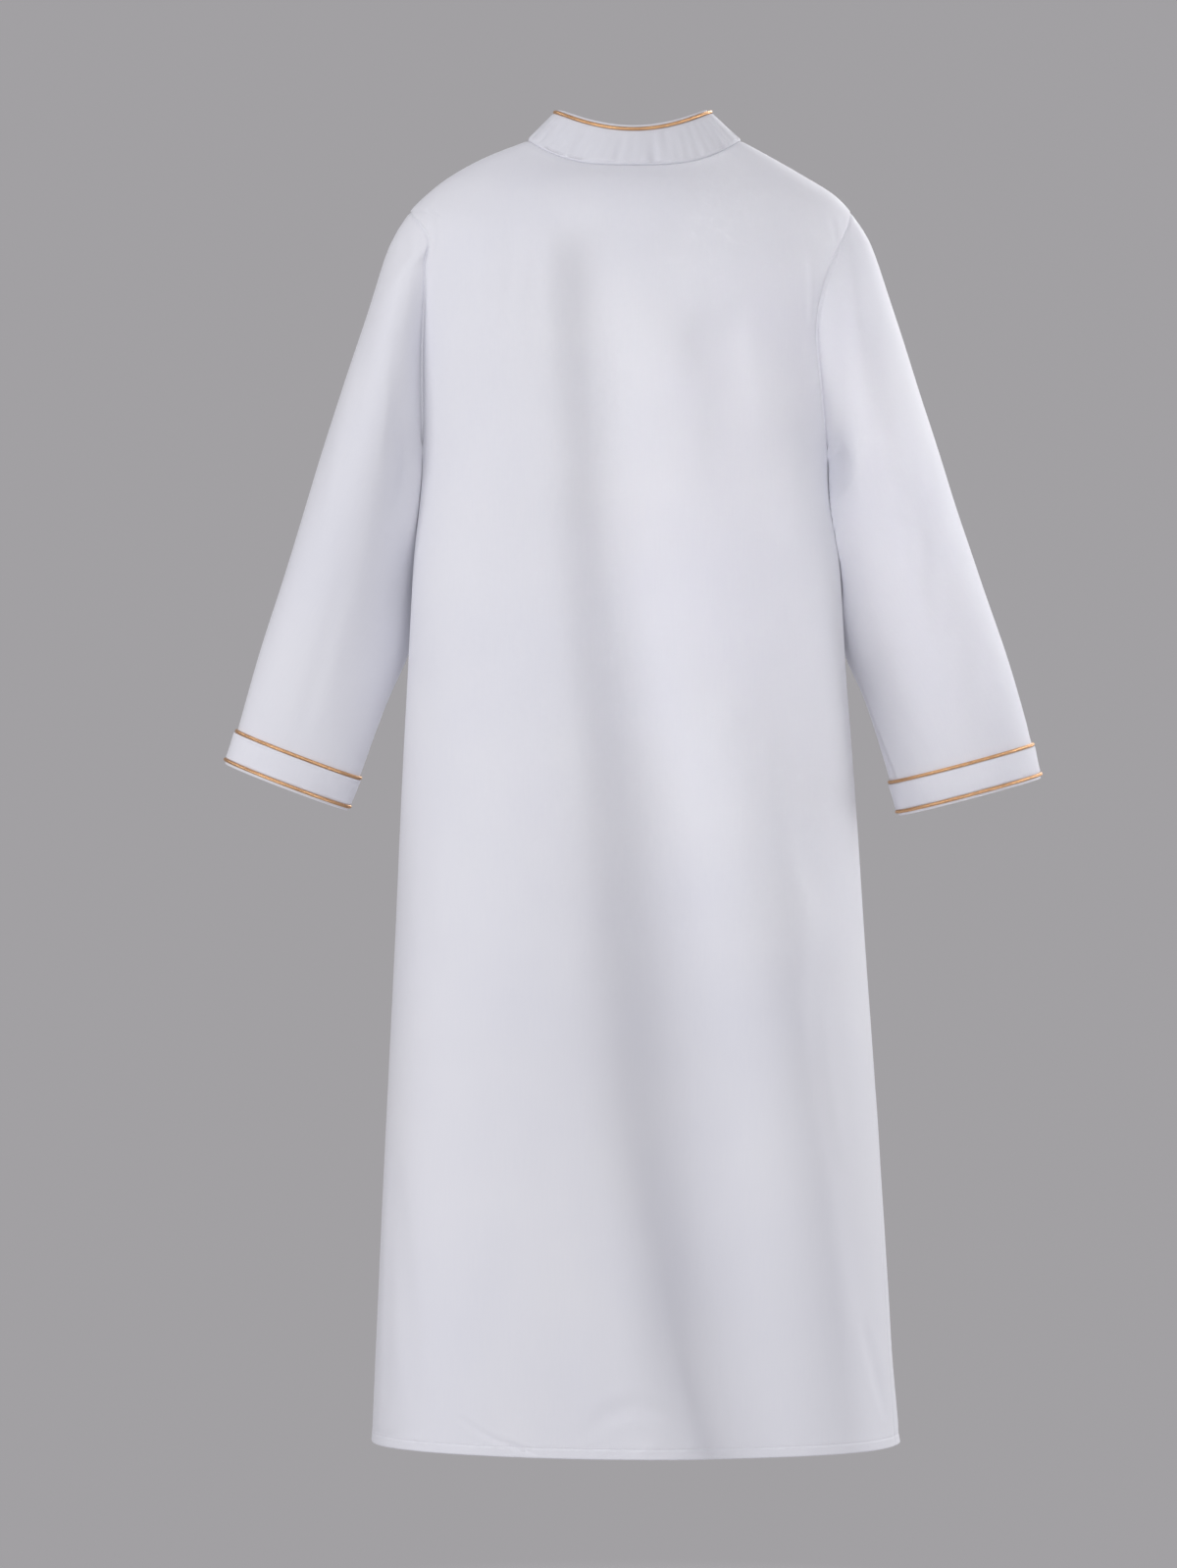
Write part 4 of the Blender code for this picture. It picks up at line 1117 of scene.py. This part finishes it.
# Finishes
clothFinish = {
    "light": (0.783, 0.786, 0.836),
    "shade": (0.738, 0.744, 0.812),
    "roughness": (0.56, 0.66),
    "sheen": 0.18,
    "sheenRoughness": 0.45,
    "specular": 0.35,
    "paintedCollarShade": 0.90,  # painted shade: the collar's lined cloth is a shaded copy of the white cloth, a tenth darker
    "threads": 2100.0,
    "weaveDepth": 0.00005,
    "napDepth": 0.00012,
    "mottle": {"Scale": 6.0, "Fine": 900.0},
}
cordFinish = {
    # light is the colour of the wound threads' crests, deep the painted shade in the grooves between them
    "light": (0.92, 0.56, 0.30),
    "deep": (0.26, 0.085, 0.028),
    # glint is the colour of the painted glints
    "glint": (1.0, 0.78, 0.42),
    "metallic": 0.95,
    "roughness": (0.22, 0.34),
    "twist": {"Twists": 620.0, "Slant": 0.7},
    "depth": 0.00016,
    "mottle": {"Scale": 60.0, "Fine": 2600.0},
}
buttonFinish = {
    "light": (0.80, 0.785, 0.82),
    "shade": (0.70, 0.69, 0.73),
    "roughness": 0.28,
    "depth": 0.00003,
    "mottle": {"Scale": 220.0, "Fine": 3500.0},
}
threadFinish = {
    # light is the colour of the twist's crests, shade the painted shade in its grooves
    "light": (0.83, 0.82, 0.87),
    "shade": (0.70, 0.69, 0.77),
    "roughness": 0.6,
    "depth": 0.00006,
    "twist": {"Twists": 1900.0, "Slant": 1.2},
}


def feed(tree, node, sockets):
    # a socket takes a link from another node, or else a constant
    for label, value in sockets.items():
        if isinstance(value, bpy.types.NodeSocket):
            tree.links.new(value, node.inputs[label])
        else:
            node.inputs[label].default_value = value


def addNode(tree, kind, sockets, **settings):
    node = tree.nodes.new("ShaderNode" + kind)
    for label, value in settings.items():
        setattr(node, label, value)
    feed(tree, node, sockets)
    return node.outputs


def mathNode(tree, kind, *values):
    return addNode(tree, "Math", dict(enumerate(values)), operation=kind)[0]


def newGroup(name, place, sizes, outputs):
    group = bpy.data.node_groups.new(name, "ShaderNodeTree")
    group.interface.new_socket(place, in_out="INPUT", socket_type="NodeSocketVector")
    for label in sizes:
        group.interface.new_socket(label, in_out="INPUT", socket_type="NodeSocketFloat")
    for label in outputs:
        group.interface.new_socket(label, in_out="OUTPUT", socket_type="NodeSocketFloat")
    return group, group.nodes.new("NodeGroupInput").outputs, group.nodes.new("NodeGroupOutput")


def useGroup(tree, group, **sockets):
    return addNode(tree, "Group", sockets, node_tree=group)


def weaveGroup():
    # over and under threads on the piece's own map, with slubs along the warp
    group, given, out = newGroup("woven threads", "Map", ["Threads"], ["Height", "Slub"])
    split = addNode(group, "SeparateXYZ", {0: given["Map"]})
    turns = mathNode(group, "MULTIPLY", given["Threads"], 2 * math.pi)
    ways = [mathNode(group, "MULTIPLY", split[axis], turns) for axis in ("X", "Y")]
    warp, weft = [mathNode(group, "ABSOLUTE", mathNode(group, "SINE", way)) for way in ways]
    height = mathNode(group, "ADD", warp, mathNode(group, "MULTIPLY", weft, 0.6))
    stretch = addNode(group, "Mapping", {"Vector": given["Map"], "Scale": (900, 28, 1)})
    slub = addNode(group, "TexNoise", {"Vector": stretch["Vector"], "Scale": 1.0, "Detail": 3.0})
    feed(group, out, {"Height": height, "Slub": slub["Fac"]})
    return group


def mottleGroup():
    # slow soft change over the surface and a fine nap
    group, given, out = newGroup("soft mottle", "Place", ["Scale", "Fine"], ["Slow", "Nap"])
    for label, size, detail in (("Slow", "Scale", 2.0), ("Nap", "Fine", 4.0)):
        noise = {"Vector": given["Place"], "Scale": given[size], "Detail": detail}
        feed(group, out, {label: addNode(group, "TexNoise", noise)["Fac"]})
    return group


def twistGroup():
    # slanting threads wound round a cord, with painted glints: short bright spots that stand in for
    # sparkles of reflected light
    group, given, out = newGroup("wound threads", "Map", ["Twists", "Slant"], ["Height", "Glint"])
    split = addNode(group, "SeparateXYZ", {0: given["Map"]})
    slanted = mathNode(group, "ADD", split["X"], mathNode(group, "MULTIPLY", split["Y"], given["Slant"]))
    turns = mathNode(group, "MULTIPLY", given["Twists"], 2 * math.pi)
    wave = mathNode(group, "SINE", mathNode(group, "MULTIPLY", slanted, turns))
    grain = addNode(group, "TexNoise", {"Vector": given["Map"], "Scale": 1600.0, "Detail": 2.0})
    glint = spreadValue(group, grain["Fac"], 0.0, 1.0, 0.60, 0.72)
    feed(group, out, {"Height": mathNode(group, "ABSOLUTE", wave), "Glint": glint})
    return group


def newFinish(name):
    material = bpy.data.materials.new(name)
    material.use_nodes = True
    tree = material.node_tree
    return material, tree, tree.nodes["Principled BSDF"]


def mixColours(tree, factor, first, second):
    pair = [part if isinstance(part, bpy.types.NodeSocket) else (*part, 1) for part in (first, second)]
    return addNode(tree, "Mix", {"Factor": factor, "A": pair[0], "B": pair[1]}, data_type="RGBA")["Result"]


def spreadValue(tree, value, low, high, fromLow=0.3, fromHigh=0.7):
    spread = {"Value": value, "From Min": fromLow, "From Max": fromHigh, "To Min": low, "To Max": high}
    return addNode(tree, "MapRange", spread)["Result"]


def addBump(tree, height, depth, strength, **under):
    bump = {"Height": height, "Distance": depth, "Strength": strength, **under}
    return addNode(tree, "Bump", bump)["Normal"]


def readPlace(tree):
    return addNode(tree, "TexCoord", {})["Object"]


def readMap(tree):
    return addNode(tree, "UVMap", {}, uv_map="clothUv")["UV"]


def makeCloth(name, weave, mottle, tone):
    material, tree, shader = newFinish(name)
    threads = useGroup(tree, weave, Map=readMap(tree), Threads=clothFinish["threads"])
    cloud = useGroup(tree, mottle, Place=readPlace(tree), **clothFinish["mottle"])
    slow = mathNode(tree, "MULTIPLY", cloud["Slow"], 0.7)
    slub = mathNode(tree, "MULTIPLY", threads["Slub"], 0.3)
    worn = spreadValue(tree, mathNode(tree, "ADD", slow, slub), 0.0, 1.0)
    shade, light = [[tone * part for part in clothFinish[key]] for key in ("shade", "light")]
    nap = addBump(tree, cloud["Nap"], clothFinish["napDepth"], 0.5)
    feed(tree, shader, {
        "Base Color": mixColours(tree, worn, shade, light),
        "Roughness": spreadValue(tree, threads["Slub"], *clothFinish["roughness"]),
        "Normal": addBump(tree, threads["Height"], clothFinish["weaveDepth"], 0.6, Normal=nap),
        "Sheen Weight": clothFinish["sheen"],
        "Sheen Roughness": clothFinish["sheenRoughness"],
        "Specular IOR Level": clothFinish["specular"],
    })
    return material


def makeCordFinish(twist, mottle):
    material, tree, shader = newFinish("gold cord")
    wound = useGroup(tree, twist, Map=readMap(tree), **cordFinish["twist"])
    cloud = useGroup(tree, mottle, Place=readPlace(tree), **cordFinish["mottle"])
    # painted shade: the grooves between the wound threads take the deep colour, the crests the light one;
    # the mottle also darkens it at random
    grooveShadeAndMottle = spreadValue(tree, wound["Height"], 0.0, 1.0, 0.0, 0.55)
    grooveShadeAndMottle = mathNode(tree, "MULTIPLY", grooveShadeAndMottle, spreadValue(tree, cloud["Slow"], 0.75, 1.0))
    colour = mixColours(tree, grooveShadeAndMottle, cordFinish["deep"], cordFinish["light"])
    # painted glint: sparse bright spots of colour stand in for sparkles on the metal
    glint = mathNode(tree, "MULTIPLY", wound["Glint"], 0.7)
    feed(tree, shader, {
        "Base Color": mixColours(tree, glint, colour, cordFinish["glint"]),
        "Roughness": spreadValue(tree, cloud["Nap"], *cordFinish["roughness"]),
        "Normal": addBump(tree, wound["Height"], cordFinish["depth"], 0.8),
        "Metallic": cordFinish["metallic"],
    })
    return material


def makeButtonFinish(mottle):
    material, tree, shader = newFinish("button white")
    cloud = useGroup(tree, mottle, Place=readPlace(tree), **buttonFinish["mottle"])
    tone = spreadValue(tree, cloud["Slow"], 0.0, 1.0)
    feed(tree, shader, {
        "Base Color": mixColours(tree, tone, buttonFinish["shade"], buttonFinish["light"]),
        "Roughness": buttonFinish["roughness"],
        "Normal": addBump(tree, cloud["Nap"], buttonFinish["depth"], 0.3),
    })
    return material


def makeThreadFinish(twist):
    material, tree, shader = newFinish("sewing thread")
    wound = useGroup(tree, twist, Map=readMap(tree), **threadFinish["twist"])
    # painted shade: the grooves of the twist take the shade colour, the crests the light one
    feed(tree, shader, {
        "Base Color": mixColours(tree, wound["Height"], threadFinish["shade"], threadFinish["light"]),
        "Roughness": threadFinish["roughness"],
        "Normal": addBump(tree, wound["Height"], threadFinish["depth"], 0.5),
    })
    return material


def makeFinishes():
    weave, mottle, twist = weaveGroup(), mottleGroup(), twistGroup()
    return {
        "cloth": makeCloth("white cloth", weave, mottle, 1.0),
        # painted shade: the collar's cloth is a darker copy of the white cloth
        "paintedCollarShade": makeCloth("collar cloth with painted shade", weave, mottle, clothFinish["paintedCollarShade"]),
        "cord": makeCordFinish(twist, mottle),
        "button": makeButtonFinish(mottle),
        "thread": makeThreadFinish(twist),
    }


# Studio: floor, lights and camera
studio = {
    "background": (0.361, 0.352, 0.366),
    "floorColour": (0.55, 0.545, 0.555),
    "floorDrop": 1.62,
    "floorRadius": 0.80,
    "floorSolid": 0.30,
    "cameraDistance": 5.5,
    "cameraDrop": 0.6822,
    "lens": 119.06,
    "shift": -0.0288,
    # name, place, aimed at, size, watts, spread in degrees
    "lights": (
        ("key", (3.66, 1.79, 0.32), (0.0, 0.0, -0.8), 2.0, 60.0, 180),
        ("camera side", (-0.29, 4.17, -1.14), (0.0, 0.0, -0.85), 2.2, 55.0, 180),
        ("above", (0.0, 2.1, 2.94), (0.0, 0.0, -0.4), 1.6, 25.0, 180),
        ("rim", (-3.93, -1.28, 0.03), (0.0, 0.0, -0.8), 2.0, 76.0, 180),
        ("sleeve side", (-1.6, 3.6, -0.2), (-0.3, 0.03, -0.4), 0.3, 0.2, 15),
        ("front", (-1.8, -3.4, 1.6), (0.0, 0.0, -0.6), 2.2, 70.0, 180),
    ),
}


def makeFloor():
    # solid under the robe, gone at its rim
    radius, place = studio["floorRadius"], (0, 0, -studio["floorDrop"])
    bpy.ops.mesh.primitive_circle_add(vertices=96, radius=radius, fill_type="TRIFAN", location=place)
    floor = bpy.context.object
    floor.name = "floor"
    bpy.ops.object.transform_apply(location=True, rotation=True, scale=True)
    material, tree, shader = newFinish("pale floor")
    place = readPlace(tree)
    level = addNode(tree, "VectorMath", {0: place, 1: (1, 1, 0)}, operation="MULTIPLY")["Vector"]
    far = addNode(tree, "VectorMath", {0: level}, operation="LENGTH")["Value"]
    grain = addNode(tree, "TexNoise", {"Vector": place, "Scale": 9.0})["Fac"]
    base = studio["floorColour"]
    feed(tree, shader, {
        "Base Color": mixColours(tree, grain, base, [min(1, part * 1.04) for part in base]),
        "Alpha": spreadValue(tree, far, 1.0, 0.0, studio["floorSolid"], radius * 0.97),
        "Roughness": 0.8,
    })
    floor.data.materials.append(material)


def addObject(name, data):
    thing = bpy.data.objects.new(name, data)
    bpy.context.scene.collection.objects.link(thing)
    return thing


def makeLights():
    world = bpy.data.worlds.new("plain studio")
    bpy.context.scene.world = world
    world.use_nodes = True
    world.node_tree.nodes["Background"].inputs["Color"].default_value = (*studio["background"], 1)
    for name, place, target, size, watts, spread in studio["lights"]:
        lamp = bpy.data.lights.new(name, "AREA")
        lamp.size = size
        lamp.spread = math.radians(spread)
        lamp.energy = watts
        light = addObject(name, lamp)
        light.location = place
        light.rotation_euler = (Vector(target) - Vector(place)).to_track_quat("-Z", "Y").to_euler()
        light.visible_camera = False


def makeCamera():
    lens = bpy.data.cameras.new("camera")
    lens.sensor_fit = "VERTICAL"
    lens.sensor_height = 36
    lens.lens = studio["lens"]
    lens.shift_x = studio["shift"]
    camera = addObject("camera", lens)
    camera.location = (0, studio["cameraDistance"], -studio["cameraDrop"])
    camera.rotation_euler = (math.radians(90), 0, math.radians(180))
    bpy.context.scene.camera = camera
    bpy.context.scene.view_settings.view_transform = "Standard"


finishes = makeFinishes()
print("finishes ready")

for name, settings, creases in (("back", backPanel, backCreases), ("front", frontPanel, frontCreases)):
    panel, hemSewing = makePanel(name, settings, creases, finishes)
    print(name, "panel hung")

for side in ("left", "right"):
    sleeve = makeSleeve(side, finishes)
    cuff, cuffSewing = makeCuff(side, finishes)
    print(side, "sleeve and cuff sewn")

collar, collarSewing = makeCollar(finishes)
placket, placketSewing = makePlacket(finishes)
print("collar and placket sewn")

for node in ("button_1", "button_2", "button_3", "button_4"):
    makeButton(node, finishes)
makeButtonholes(finishes)
print("buttons sewn on")

makeFloor()
makeLights()
makeCamera()

bpy.context.view_layer.update()
print("scene ready")
